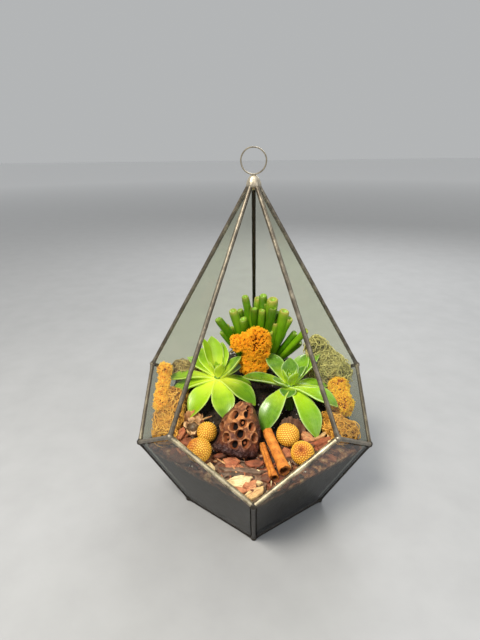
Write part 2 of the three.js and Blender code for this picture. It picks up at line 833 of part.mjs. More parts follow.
const centreLichen = lichen(
  [
    [1.5, 35.4, 132, 16.5, 10.5, 16.5, 16],
    [-17.5, 36, 134, 8.5, 8, 8.5, 6],
    [1.8, 38, 108, 13, 9.5, 14, 6],
  ],
  SEED,
);
const leftLichen = lichen(
  [
    [-82, 23.5, 109.5, 7.5, 11.5, 7, 5],
    [-84.5, 9, 102.5, 7.5, 12, 7.5, 5],
    [-85.5, -6, 95.5, 7.5, 11.5, 7.5, 5],
  ],
  SEED + 1,
);
const rightLichen = lichen(
  [
    [79, 16.5, 95, 10.5, 11.5, 13, 12],
    [79, 1, 89, 11.5, 12, 11.5, 12],
  ],
  SEED + 2,
);
const leftMoss = strandMoss(
  [
    [-76, 16.5, 83.5, 10.5, 12, 6, 4],
    [-76.5, 4, 81.7, 10.5, 11, 7.7, 5],
    [-76, -10, 77.5, 11, 11, 8.5, 5],
    [-75, -24, 73.5, 10, 10, 8.5, 5],
  ],
  SEED + 3,
);
const rightMoss = strandMoss(
  [
    [77, -22, 76, 10, 9, 9, 6],
    [67, -11, 77, 9, 9, 7.5, 5],
  ],
  SEED + 4,
);
const backRightMoss = strandMoss(
  [
    [68, 38, 100, 14, 12, 14, 4],
    [70, 33, 117, 12, 10, 12, 6],
    [60, 36, 130, 9, 8, 11, 6],
  ],
  SEED + 15,
);
const backLeftMoss = strandMoss(
  [
    [-66, 48, 98, 12, 12, 11, 6],
    [-73, 44.5, 103, 8.5, 8.5, 8.5, 5],
  ],
  SEED + 6,
);

// ---- dried pod ----------------------------------------------------------------------
// A bell-shaped seed pod that leans back: a wrinkled rim below, pits over the dome.
// Its foot is pressed into the soil, so the near edge of the rim rests on the surface.
const podFoot = vec(-15, -37, soilHeight(-15, -37) - 2.6);
const podTop = vec(-6.5, -16, podFoot.z + POD_HEIGHT);

// Height and radius: a turned-in foot, the rim, the widest belt, a blunt top.
const POD_PROFILE = [
  [0, 0.66],
  [0.05, 0.92],
  [0.13, 1.02],
  [0.3, 1],
  [0.46, 0.95],
  [0.63, 0.82],
  [0.8, 0.62],
  [0.93, 0.42],
  [1, 0.26],
];

function podPoint(t, a, swell = 0) {
  const axis = podTop.clone().sub(podFoot);
  const [first, second] = across(axis.clone().normalize(), vec(1, 0, 0));
  let k = 0;
  while (k + 2 < POD_PROFILE.length && t > POD_PROFILE[k + 1][0]) k++;
  const [[low, lowRadius], [high, highRadius]] = POD_PROFILE.slice(k, k + 2);
  const share = (t - low) / (high - low);
  const wrinkle = 0.045 * smooth((0.3 - t) / 0.3) * Math.sin(9 * a);
  const r = POD_R * (mix(lowRadius, highRadius, share) + wrinkle) + swell;
  return podFoot
    .clone()
    .addScaledVector(axis, t)
    .addScaledVector(first, r * Math.cos(a))
    .addScaledVector(second, r * Math.sin(a));
}

function podShell(swell) {
  const sides = 16;
  const rings = POD_PROFILE.map(([t]) =>
    Array.from({ length: sides }, (_, i) => podPoint(t, (i / sides) * 2 * Math.PI, swell)),
  );
  return loft(rings);
}

// Pits: height along the pod, angle round it, radius.
const POD_PITS = [
  [0.94, -140, 1.7],
  [0.89, -63, 1.8],
  [0.73, -123, 2.4],
  [0.79, -72, 2.2],
  [0.5, -148, 2.5],
  [0.54, -110, 2.3],
  [0.63, -86, 2.4],
  [0.59, -54, 2.3],
  [0.43, -87, 2.7],
  [0.32, -124, 2.4],
  [0.41, -42, 2.5],
  [0.23, -98, 2.5],
  [0.29, -68, 2.5],
  [0.6, 60, 2.3],
  [0.5, -8, 2.2],
];

function pod() {
  let body = podShell(0);
  POD_PITS.forEach(([t, degrees, radius]) => {
    const a = rad(degrees);
    const mouth = podPoint(t, a);
    const middle = podFoot.clone().lerp(podTop, t);
    const inward = middle.clone().sub(mouth).normalize();
    const [first, second] = across(inward, UP);
    const ring = (depth) =>
      ringAt(mouth.clone().addScaledVector(inward, depth), first, second, 6, radius);
    body = body.subtract(loft([ring(-2), ring(2.6)]));
  });
  return body;
}

// ---- scaly fruits -------------------------------------------------------------------
// A round fruit under rows of overlapping scales, each raised towards its lower tip,
// with a dimple on the end that faces `dimple`.
function fruit(centre, radius, dimple) {
  const rows = 8;
  const round = 9;
  const axis = dimple.clone().normalize();
  const [first, second] = across(axis, Math.abs(axis.z) < 0.9 ? UP : vec(1, 0, 0));
  const place = (row, step, r) => {
    const theta = mix(0.24, Math.PI - 0.24, row / rows);
    const phi = (step / round) * 2 * Math.PI;
    return centre
      .clone()
      .addScaledVector(axis, r * Math.cos(theta))
      .addScaledVector(first, r * Math.sin(theta) * Math.cos(phi))
      .addScaledVector(second, r * Math.sin(theta) * Math.sin(phi));
  };
  const points = [];
  const faces = [];
  const id = (row, i) => row * round + (i % round);
  // Every other row is turned by half a step, so the corners form a lattice of rhombs.
  const shift = (row) => (row % 2) / 2;
  for (let row = 0; row <= rows; row++) {
    for (let i = 0; i < round; i++) points.push(place(row, i + shift(row), radius * 0.96));
  }
  for (let row = 0; row <= rows; row++) {
    for (let i = 0; i < round; i++) {
      const left = id(row, i);
      const right = id(row, i + 1);
      const middle = i + 2 * shift(row);
      const above = id(Math.max(0, row - 1), middle);
      const below = id(Math.min(rows, row + 1), middle);
      if (row === 0) faces.push([left, below, right]);
      else if (row === rows) faces.push([above, left, right]);
      else {
        const tip = place(row + 0.3, i + 0.5 + shift(row), radius * 1.05);
        const t = points.push(tip) - 1;
        faces.push([above, left, t], [left, below, t], [below, right, t], [right, above, t]);
      }
    }
  }
  const nearPole = points.push(centre.clone().addScaledVector(axis, radius * 0.8)) - 1;
  const farPole = points.push(centre.clone().addScaledVector(axis, -radius)) - 1;
  for (let i = 0; i < round; i++) {
    faces.push([nearPole, id(0, i), id(0, i + 1)]);
    faces.push([farPole, id(rows, i + 1), id(rows, i)]);
  }
  return solidFrom(points, faces);
}

// ---- bark quills --------------------------------------------------------------------
// A sheet of bark rolled into a scroll, from one end to the other.
function quill(from, to, radius, sheet, turns, startAngle) {
  const pitch = sheet + 0.5; // the roll tightens by one sheet and a slit per turn
  const steps = Math.round(turns * 11);
  const at = (k, inset) => {
    const a = startAngle + (k / steps) * turns * 2 * Math.PI;
    const r = radius - inset - (pitch * (k / steps) * turns);
    return [r * Math.cos(a), r * Math.sin(a)];
  };
  const outline = [];
  for (let k = 0; k <= steps; k++) outline.push(at(k, 0));
  for (let k = steps; k >= 0; k--) outline.push(at(k, sheet));
  const shape = new THREE.Shape(outline.map(([x, y]) => new THREE.Vector2(x, y)));
  const run = to.clone().sub(from);
  const geometry = new THREE.ExtrudeGeometry(shape, { depth: run.length(), bevelEnabled: false });
  geometry.applyQuaternion(new THREE.Quaternion().setFromUnitVectors(UP, run.normalize()));
  geometry.translate(...from.toArray());
  return solidOf(geometry);
}

const THICK_QUILL = [vec(11.3, -25, 77.5 + BASE_Z), vec(23.5, -67.5, 72.5 + BASE_Z)];
const THIN_QUILL = [vec(7.2, -33.5, 71 + BASE_Z), vec(15.6, -70, 67.6 + BASE_Z)];
const THIN_QUILL_R = 0.64 * QUILL_R;

// A plain round bar a little larger than a quill: the litter leaves it room.
function quillRoom([from, to], radius) {
  const along = to.clone().sub(from).normalize();
  const [first, second] = across(along, UP);
  const ring = (p) => ringAt(p, first, second, 8, radius + 2 * GAP);
  return loft([
    ring(from.clone().addScaledVector(along, -1)),
    ring(to.clone().addScaledVector(along, 1)),
  ]);
}

// ---- nut in its husk ----------------------------------------------------------------
const huskCentre = vec(-52.5, -17, 73.5 + BASE_Z);
const HUSK_R = 6.8;
const huskTilt = vec(0.1, -0.45, 1).normalize();

// An open cup with a ragged lip, its mouth towards `huskTilt`.
function husk() {
  const [first, second] = across(huskTilt, vec(1, 0, 0));
  const wall = 1.3;
  const ragged = (a) => 1 + 0.07 * Math.sin(5 * a);
  const ring = (height, r) =>
    ringAt(huskCentre.clone().addScaledVector(huskTilt, height), first, second, 12, (a) =>
      r * (height > 0 ? ragged(a) : 1),
    );
  const R = HUSK_R;
  const w = wall;
  return loft([
    ring(-0.82 * R, 0.5 * R),
    ring(-0.4 * R, 0.88 * R),
    ring(0.25 * R, R),
    ring(0.5 * R, 0.95 * R),
    ring(0.46 * R, 0.95 * R - w),
    ring(0.2 * R, R - w - 0.1),
    ring(-0.34 * R, 0.84 * R - w),
    ring(-0.58 * R, 0.42 * R - 0.3),
  ]);
}

function nut() {
  const [first, second] = across(huskTilt, vec(1, 0, 0));
  const R = HUSK_R;
  const stops = [
    [-0.3, 0.28],
    [-0.1, 0.52],
    [0.25, 0.68],
    [0.55, 0.6],
    [0.85, 0.34],
  ];
  const at = (h) => huskCentre.clone().addScaledVector(huskTilt, h * R);
  return loft(
    stops.map(([h, r]) => ringAt(at(h), first, second, 10, r * R)),
    at(-0.42),
    at(1),
  );
}

// ---- bark litter --------------------------------------------------------------------
// An irregular chip of bark with five corners, bent to the soil it lies on.
function chip(x, y, length, width, yaw, lift, draw) {
  const thick = 1.9 + 0.9 * draw();
  const corners = Array.from({ length: 5 }, (_, i) => {
    const a = ((i + 0.35 * draw()) / 5) * 2 * Math.PI;
    const along = (length / 2) * Math.cos(a);
    const aside = (width / 2) * Math.sin(a);
    return { along, aside, rise: lift + 0.7 * draw() };
  });
  const cos = Math.cos(rad(yaw));
  const sin = Math.sin(rad(yaw));
  const layer = (height, k) =>
    corners.map(({ along, aside, rise }) => {
      const px = x + k * (along * cos - aside * sin);
      const py = y + k * (along * sin + aside * cos);
      return vec(px, py, soilHeight(px, py) + 2 * GAP + rise + height);
    });
  return loft([layer(0, 1), layer(thick, 0.88)]);
}

// Chips strewn over a patch on a jittered grid, each overlapping its neighbours, and
// larger ones laid on them where they lie in the real planter.
function litter([x0, x1, y0, y1], laid, seed) {
  const draw = draws(seed);
  const step = 0.76 * CHIP_LENGTH;
  const chips = [];
  for (let y = y0; y <= y1; y += step) {
    for (let x = x0; x <= x1; x += step) {
      const px = x + 3 * (draw() - 0.5);
      const py = y + 3 * (draw() - 0.5);
      const long = CHIP_LENGTH * (0.95 + 0.35 * draw());
      const wide = long * (0.62 + 0.25 * draw());
      chips.push(chip(px, py, long, wide, 180 * draw(), 0.6 * draw(), draw));
    }
  }
  laid.forEach(([x, y, length, width, yaw]) => {
    chips.push(chip(x, y, length, width, yaw, 1.3, draw));
  });
  return fuse(chips);
}

// A curved piece of husk on edge round one fruit, its top ragged.
function huskPlate() {
  const wall = 1.8;
  const pivot = vec(30, -30, 0);
  const bend = 15.4;
  const steps = 7;
  const rings = Array.from({ length: steps + 1 }, (_, i) => {
    const t = i / steps;
    const a = rad(mix(34, 118, t));
    const at = (r, z) => vec(pivot.x + r * Math.cos(a), pivot.y + r * Math.sin(a), z);
    const middle = at(bend, 0);
    const foot = soilHeight(middle.x, middle.y) + GAP + 0.3;
    const top = foot + 5 + 8 * Math.sin(Math.PI * (0.12 + 0.76 * t)) + (i % 2) - 0.5;
    return [
      at(bend - wall / 2, foot),
      at(bend - wall / 2, top),
      at(bend + 1.6 + wall / 2, top),
      at(bend + wall / 2, foot),
    ];
  });
  return loft(rings);
}

// Laid chips: place, length, width, direction.
const FRONT_CHIPS = [
  [-27.5, -43.5, 14, 5, 20],
  [-19, -50.5, 15, 10, 8],
  [1.5, -50, 16, 10, -10],
  [-16, -61, 24, 7, -8],
  [-14, -72.5, 18, 14, 20],
  [-3, -74.5, 14, 11, -25],
  [2.5, -83.5, 20, 8, 42],
];
const LEFT_CHIPS = [
  [-48.5, -9.5, 12, 9, 60],
  [-55.5, -3.5, 11, 8, 10],
  [-57, -30, 13, 9, -20],
  [-54, -51, 13, 9, 30],
];
const RIGHT_CHIPS = [
  [57, -29.5, 22, 6, 38],
  [60, -33, 20, 6, 28],
  [27, -43, 12, 9, -10],
  [46, -35, 14, 9, 60],
  [45, -26, 15, 10, -50],
];

// ---- everything that lies in the case -----------------------------------------------
const seated = (x, y, radius) => vec(x, y, soilHeight(x, y) + 1.05 * radius + 2 * GAP);
const FRUITS = [
  [seated(-39.5, -25.5, 8.5), 8.5, vec(-0.4, -0.5, 0.8)],
  [seated(-43.6, -48.5, 1.03 * FRUIT_R), 1.03 * FRUIT_R, vec(0.2, -1, 0.2)],
  [seated(28.3, -29.5, FRUIT_R), FRUIT_R, vec(0.3, 0.4, 1)],
  [seated(38.9, -48.5, 0.97 * FRUIT_R), 0.97 * FRUIT_R, vec(-0.25, -0.55, 0.8)],
];
// A plain round hole in the soil for a stem.
const holeAt = (c, radius) => {
  const z = soilHeight(c.x, c.y);
  return loft(
    [z - STEM_SINK - 1, z + STEM_SINK].map((height) =>
      ringAt(vec(c.x, c.y, height), vec(1, 0, 0), vec(0, 1, 0), 8, radius + 2 * GAP),
    ),
  );
};
const ball = (centre, radius) => lump(centre, vec(radius, radius, radius), 5, 9);
const HUSK_ROOM = HUSK_R + 5 * GAP;

const soil = largest(
  inside
    .intersect(soilBlock(0))
    .subtract(holeAt(leftCentre, STEM_R))
    .subtract(holeAt(rightCentre, STEM_R))
    .subtract(holeAt(jadeFoot, TRUNK_R))
    .subtract(ball(huskCentre, HUSK_ROOM))
    .subtract(podShell(3 * GAP)),
);
// The room that the litter leaves to what lies in it.
const rests = fuse([
  podShell(3 * GAP),
  quillRoom(THICK_QUILL, QUILL_R),
  quillRoom(THIN_QUILL, THIN_QUILL_R),
  ball(huskCentre, HUSK_ROOM),
  ...FRUITS.map(([centre, radius]) => ball(centre, 1.05 * radius + 4 * GAP)),
]);
const strewn = (chips) => largest(onGround(chips).subtract(rests));

addNode("soil", soil, EARTH);
addNode("rosette_left", leftRosette, LIME);
addNode("rosette_right", rightRosette, LIME);
addNode("finger_jade", jade(), FINGER_GREEN);
addNode("lichen_centre", onGround(centreLichen), ORANGE);
addNode("lichen_left", onGround(leftLichen), ORANGE);
addNode("lichen_right", onGround(rightLichen), ORANGE);
addNode("moss_left", onGround(leftMoss), GOLDEN);
addNode("moss_right", onGround(rightMoss), GOLDEN);
addNode("moss_back_right", onGround(backRightMoss), OLIVE);
addNode("moss_back_left", onGround(backLeftMoss), UMBER);
addNode("dried_pod", pod(), POD_BROWN);
FRUITS.forEach(([centre, radius, dimple], i) =>
  addNode(`scaly_fruit_${i + 1}`, fruit(centre, radius, dimple), FRUIT_YELLOW),
);
addNode("bark_quill_thick", quill(...THICK_QUILL, QUILL_R, 1.1, 1.4, 0.4), CINNAMON);
addNode("bark_quill_thin", quill(...THIN_QUILL, THIN_QUILL_R, 0.8, 1.3, 2.4), CINNAMON);
addNode("nut_husk", husk(), HUSK_TAN);
addNode("nut", nut(), NUT_BROWN);
addNode(
  "bark_litter_front",
  strewn(litter([-24, 30, -84, -56], FRONT_CHIPS, SEED + 11)),
  CHIP_BROWN,
);
addNode(
  "bark_litter_left",
  strewn(litter([-60, -46, -44, -6], LEFT_CHIPS, SEED + 12)),
  CHIP_BROWN,
);
addNode(
  "bark_litter_right",
  strewn(litter([30, 57, -41, -27], RIGHT_CHIPS, SEED + 13).add(huskPlate())),
  CHIP_BROWN,
);

export default terrarium;
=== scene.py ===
"""Dresses the faceted glass planter: soldered bars, clear panes, soil, succulents and litter.

Sizes are in millimetres, as in the part's own source, and become metres when a mesh is made.
"""

import itertools
import logging
from dataclasses import dataclass, field
from enum import Enum
from math import cos, pi, radians, sin, sqrt
from typing import Any, Callable, Iterator, Optional, Sequence, Union

import bpy
import numpy as np
from mathutils import Matrix, Vector


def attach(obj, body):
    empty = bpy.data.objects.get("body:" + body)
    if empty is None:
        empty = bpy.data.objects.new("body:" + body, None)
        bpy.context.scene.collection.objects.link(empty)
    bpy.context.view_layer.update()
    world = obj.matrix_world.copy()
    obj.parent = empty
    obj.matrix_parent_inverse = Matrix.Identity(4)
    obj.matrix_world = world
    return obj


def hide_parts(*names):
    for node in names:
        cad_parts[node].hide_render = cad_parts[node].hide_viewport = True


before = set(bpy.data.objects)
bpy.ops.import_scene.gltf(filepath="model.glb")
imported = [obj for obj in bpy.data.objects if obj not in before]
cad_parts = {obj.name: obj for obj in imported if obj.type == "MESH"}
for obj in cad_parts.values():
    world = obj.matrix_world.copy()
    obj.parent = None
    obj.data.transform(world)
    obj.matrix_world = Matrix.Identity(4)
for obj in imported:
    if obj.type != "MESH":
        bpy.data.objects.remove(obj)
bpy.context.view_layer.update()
LOG = logging.getLogger("planter")
MM = 0.001
UP = np.array([0.0, 0.0, 1.0])
SIDEWAYS = np.array([1.0, 0.0, 0.0])
GOLDEN_ANGLE = 137.508

Array = np.ndarray
Colour = tuple[int, int, int]
Pair = tuple[float, float]
Trio = tuple[float, float, float]
Six = tuple[float, float, float, float, float, float]
Material = bpy.types.Material
NodeSocket = bpy.types.NodeSocket
Socket = Union[NodeSocket, float, tuple]
Stops = Sequence[tuple[float, Colour]]


class Slot(str, Enum):
    """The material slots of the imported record."""

    BARS = "frame_bars"
    SOLDER = "solder"
    RING = "ring"
    SOIL = "soil"
    ROSETTE = "rosette_leaf"
    FINGER = "finger_leaf"
    LICHEN = "orange_lichen"
    GOLDEN_MOSS = "golden_moss"
    OLIVE_MOSS = "olive_moss"
    UMBER_MOSS = "umber_moss"
    POD = "pod"
    FRUIT = "fruit_scale"
    QUILL = "quill_bark"
    HUSK = "husk"
    NUT = "nut"
    CHIPS = "bark_chips"


class WearAndLight(Enum):
    """How far handling has rubbed the dark patina off a bar, and the light painted with it: the rubbed
    patina carries a painted highlight on the front rim bars, and the dark patina is painted shade on the
    back upper bar.
    """

    DARK = 0
    AGED = 1
    RUBBED_AND_LIT = 2


# ---- small mathematics ----


def linear(colour: Colour) -> tuple[float, float, float, float]:
    """The linear RGBA value of a colour that is given as it looks on a screen, 0 to 255."""
    share = [c / 255 for c in colour]
    made = [c / 12.92 if c <= 0.04045 else ((c + 0.055) / 1.055) ** 2.4 for c in share]
    return (made[0], made[1], made[2], 1.0)


def unit(v: Array) -> Array:
    """The vectors in v at length one."""
    return v / np.maximum(np.linalg.norm(v, axis=-1, keepdims=True), 1e-12)


def dot(a: Array, b: Array) -> Array:
    """The dot product along the last axis, which is kept."""
    return np.sum(a * b, axis=-1, keepdims=True)


def across(axis: Array, hint: Array) -> tuple[Array, Array]:
    """Two directions across an axis; the first lies as close to hint as it can."""
    first = unit(hint - axis * dot(hint, axis))
    return first, np.cross(axis, first)


def polar(radius: float, degrees: float, z: float) -> Array:
    """A point at a radius and a height; the angle runs from the open front towards +X."""
    a = radians(degrees)
    return np.array([radius * sin(a), -radius * cos(a), z])


def smooth(t: Any) -> Any:
    """A soft step from 0 to 1."""
    s = np.clip(t, 0.0, 1.0)
    return s * s * (3.0 - 2.0 * s)


def around(count: int) -> Array:
    """Angles spread evenly over a full turn."""
    return np.arange(count) / count * 2 * pi


def spokes(angle: Array, first: Array, second: Array) -> Array:
    """Directions at the given angles, measured from first towards second."""
    return np.cos(angle)[..., None] * first + np.sin(angle)[..., None] * second


def ball(rows: int, columns: int, tip: float, top: float = -1.0) -> Array:
    """Directions over a ball, in rows from one pole to the other.

    Args:
        rows: How many rows there are.
        columns: How many directions a row has.
        tip: How far in radians the end rows stay from the poles.
        top: 1 to start at the top pole, -1 at the bottom one.

    Returns:
        The directions, row after row.
    """
    theta = np.linspace(tip, pi - tip, rows)[:, None]
    phi = around(columns)[None]
    x, y = np.sin(theta) * np.cos(phi), np.sin(theta) * np.sin(phi)
    return np.stack([x, y, top * np.cos(theta) + 0 * phi], axis=-1)


def lathe(radius: Array, z: Array, x: float = 0.0, y: float = 0.0) -> Array:
    """Rings round an upright axis through x and y, one for each row of radius and z."""
    angle = around(radius.shape[1])
    height = np.broadcast_to(z, radius.shape)
    return np.stack([x + radius * np.cos(angle), y + radius * np.sin(angle), height], axis=-1)


def spread(count: int) -> Array:
    """Directions spread evenly over a ball by the golden angle."""
    k = np.arange(count)
    z = 1.0 - 2.0 * (k + 0.5) / count
    r = np.sqrt(1.0 - z * z)
    a = np.radians(GOLDEN_ANGLE) * k
    return np.stack([r * np.cos(a), r * np.sin(a), z], axis=1)


def spline(knots: Sequence[float], values: Any, at: Array) -> Array:
    """A smooth curve through given values.

    Args:
        knots: Where the values stand, rising.
        values: One value or row of values for each knot.
        at: Where the curve is read.

    Returns:
        The curve's value, or row of values, for each place in at.
    """
    x = np.asarray(knots, float)
    y = np.asarray(values, float)
    flat = y.ndim == 1
    y = y[:, None] if flat else y
    steps = np.diff(x)[:, None]
    slopes = np.diff(y, axis=0) / steps
    inner = (slopes[:-1] * steps[1:] + slopes[1:] * steps[:-1]) / (steps[1:] + steps[:-1])
    tangents = np.vstack([slopes[:1], inner, slopes[-1:]])
    k = np.clip(np.searchsorted(x, at, side="right") - 1, 0, len(x) - 2)
    h = steps[k]
    t = ((at - x[k])[:, None]) / h
    made = (
        (2 * t**3 - 3 * t**2 + 1) * y[k]
        + (t**3 - 2 * t**2 + t) * h * tangents[k]
        + (3 * t**2 - 2 * t**3) * y[k + 1]
        + (t**3 - t**2) * h * tangents[k + 1])
    return made[:, 0] if flat else made


def noise(points: Array, size: float, seed: int = 0) -> Array:
    """Smooth random values from -1 to 1 over space.

    Args:
        points: Where the values are read, the last axis holding x, y and z.
        size: The size of one lump of the noise, in the points' own unit.
        seed: Which of many such patterns is read.

    Returns:
        One value for each point.
    """
    cell = points / size + 512.3
    low = np.floor(cell).astype(np.int64)
    part = smooth(cell - low)
    total = np.zeros(points.shape[:-1])
    for corner in itertools.product((0, 1), repeat=3):
        at = low + np.array(corner)
        key = at[..., 0] * 73856093 ^ at[..., 1] * 19349663 ^ at[..., 2] * 83492791
        key = (key + seed * 374761393) & 0xFFFFFFFF
        key = ((key ^ (key >> 13)) * 1274126177) & 0xFFFFFFFF
        value = ((key ^ (key >> 16)) & 0xFFFF) / 65535.0
        weight = np.prod(np.where(np.array(corner) == 1, part, 1.0 - part), axis=-1)
        total += weight * value
    return 2.0 * total - 1.0


def draws(seed: int) -> Callable[[], float]:
    """A repeatable random source: each call gives the next number from 0 to 1."""
    state = [seed & 0xFFFFFFFF]

    def draw() -> float:
        """The next number."""
        state[0] = (state[0] * 1664525 + 1013904223) & 0xFFFFFFFF
        return state[0] / 4294967296.0

    return draw


# ---- meshes ----


def skin(rows: int, columns: int, wrap: bool = True) -> Array:
    """The quads of a grid of points, row after row.

    Args:
        rows: How many rows of points there are.
        columns: How many points a row has.
        wrap: Whether a row closes on itself.

    Returns:
        Four point numbers for each quad.
    """
    r = np.arange(rows - 1)[:, None] * columns
    i = np.arange(columns if wrap else columns - 1)[None, :]
    j = (i + 1) % columns
    quads = np.stack([r + i, r + j, r + columns + j, r + columns + i], axis=-1)
    return quads.reshape(-1, 4)


@dataclass
class Draft:
    """Gathers the points, faces and values of one piece before its mesh is made."""

    points: list[Array] = field(default_factory=list)
    faces: list[Array] = field(default_factory=list)
    values: dict[str, list[Array]] = field(default_factory=dict)
    count: int = 0

    def add(self, points: Array, faces: Sequence[Array], **values: Any) -> None:
        """Adds a stretch of surface.

        Args:
            points: Its points, in millimetres.
            faces: Arrays of faces of equal corner count, numbered from its own first point.
            values: Named numbers that spread over the points' own rows and columns.
        """
        flat = points.reshape(-1, 3)
        for name, value in values.items():
            known = self.values.setdefault(name, [np.zeros(self.count)] if self.count else [])
            known.append(np.broadcast_to(np.asarray(value, float), points.shape[:-1]).reshape(-1))
        for name, known in self.values.items():
            if name not in values:
                known.append(np.zeros(len(flat)))
        self.points.append(flat)
        self.faces.extend(np.asarray(f) + self.count for f in faces)
        self.count += len(flat)

    def loft(self, rings: Array, caps: bool = True, **values: Any) -> None:
        """Adds a closed skin over rings, with flat ends.

        Args:
            rings: Rows of ring points.
            caps: Whether the two ends are closed.
            values: Named numbers, as in add.
        """
        rows, columns = rings.shape[:2]
        faces = [skin(rows, columns)]
        if caps:
            ring = np.arange(columns)[None, :]
            faces += [ring[:, ::-1], ring + (rows - 1) * columns]
        self.add(rings, faces, **values)

    def tubes(self, paths: Array, radii: Array, sides: int, hint: Array, **values: Any) -> None:
        """Adds many round rods at once.

        Args:
            paths: The middle points, for each rod and station.
            radii: The radius for each rod and station.
            sides: Corners round a rod.
            hint: For each rod, a direction that isn't along it.
            values: Named numbers, one for each rod and station.
        """
        rods, stations = paths.shape[:2]
        along = unit(np.gradient(paths, axis=1))
        first, second = across(along, np.broadcast_to(hint[:, None, :], paths.shape))
        way = spokes(around(sides), first[:, :, None], second[:, :, None])
        ring = paths[:, :, None] + radii[:, :, None, None] * way
        base = (np.arange(rods) * stations * sides)[:, None, None]
        quads = (skin(stations, sides)[None] + base).reshape(-1, 4)
        start = (np.arange(sides)[None, None, ::-1] + base).reshape(-1, sides)
        end = (np.arange(sides)[None, None] + base + (stations - 1) * sides).reshape(-1, sides)
        self.add(ring, [quads, start, end], **{name: v[..., None] for name, v in values.items()})

    def make(self, name: str, sharp: float = 180.0) -> bpy.types.Object:
        """Makes the mesh object, in metres.

        Args:
            name: The piece's name.
            sharp: Edges that turn by more than this many degrees stay sharp.

        Returns:
            The new object.
        """
        mesh = bpy.data.meshes.new(name)
        points = np.concatenate(self.points) * MM
        sizes = np.concatenate([np.full(len(f), f.shape[1]) for f in self.faces])
        corners = np.concatenate([f.reshape(-1) for f in self.faces])
        mesh.vertices.add(len(points))
        mesh.vertices.foreach_set("co", points.astype(np.float32).reshape(-1))
        mesh.loops.add(len(corners))
        mesh.loops.foreach_set("vertex_index", corners.astype(np.int32))
        mesh.polygons.add(len(sizes))
        starts = np.concatenate([[0], np.cumsum(sizes)[:-1]])
        mesh.polygons.foreach_set("loop_start", starts.astype(np.int32))
        mesh.polygons.foreach_set("use_smooth", np.ones(len(sizes), bool))
        mesh.update(calc_edges=True)
        mesh.validate()
        for key, parts in self.values.items():
            value = mesh.attributes.new(key, "FLOAT", "POINT")
            value.data.foreach_set("value", np.concatenate(parts).astype(np.float32))
        if sharp < 180.0:
            mesh.set_sharp_from_angle(angle=radians(sharp))
        made = bpy.data.objects.new(name, mesh)
        bpy.context.scene.collection.objects.link(made)
        return made


def fit(piece: bpy.types.Object, node: str, slot: Slot, look: Material) -> None:
    """Puts a piece in place of a CAD node and gives it its finish.

    Args:
        piece: The new piece.
        node: The CAD node that it stands for.
        slot: Not used.
        look: Its material.
    """
    piece.data.materials.append(look)
    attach(piece, "root")
    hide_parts(node)
    LOG.info("%s stands for %s, %d points", piece.name, node, len(piece.data.vertices))


# ---- materials ----


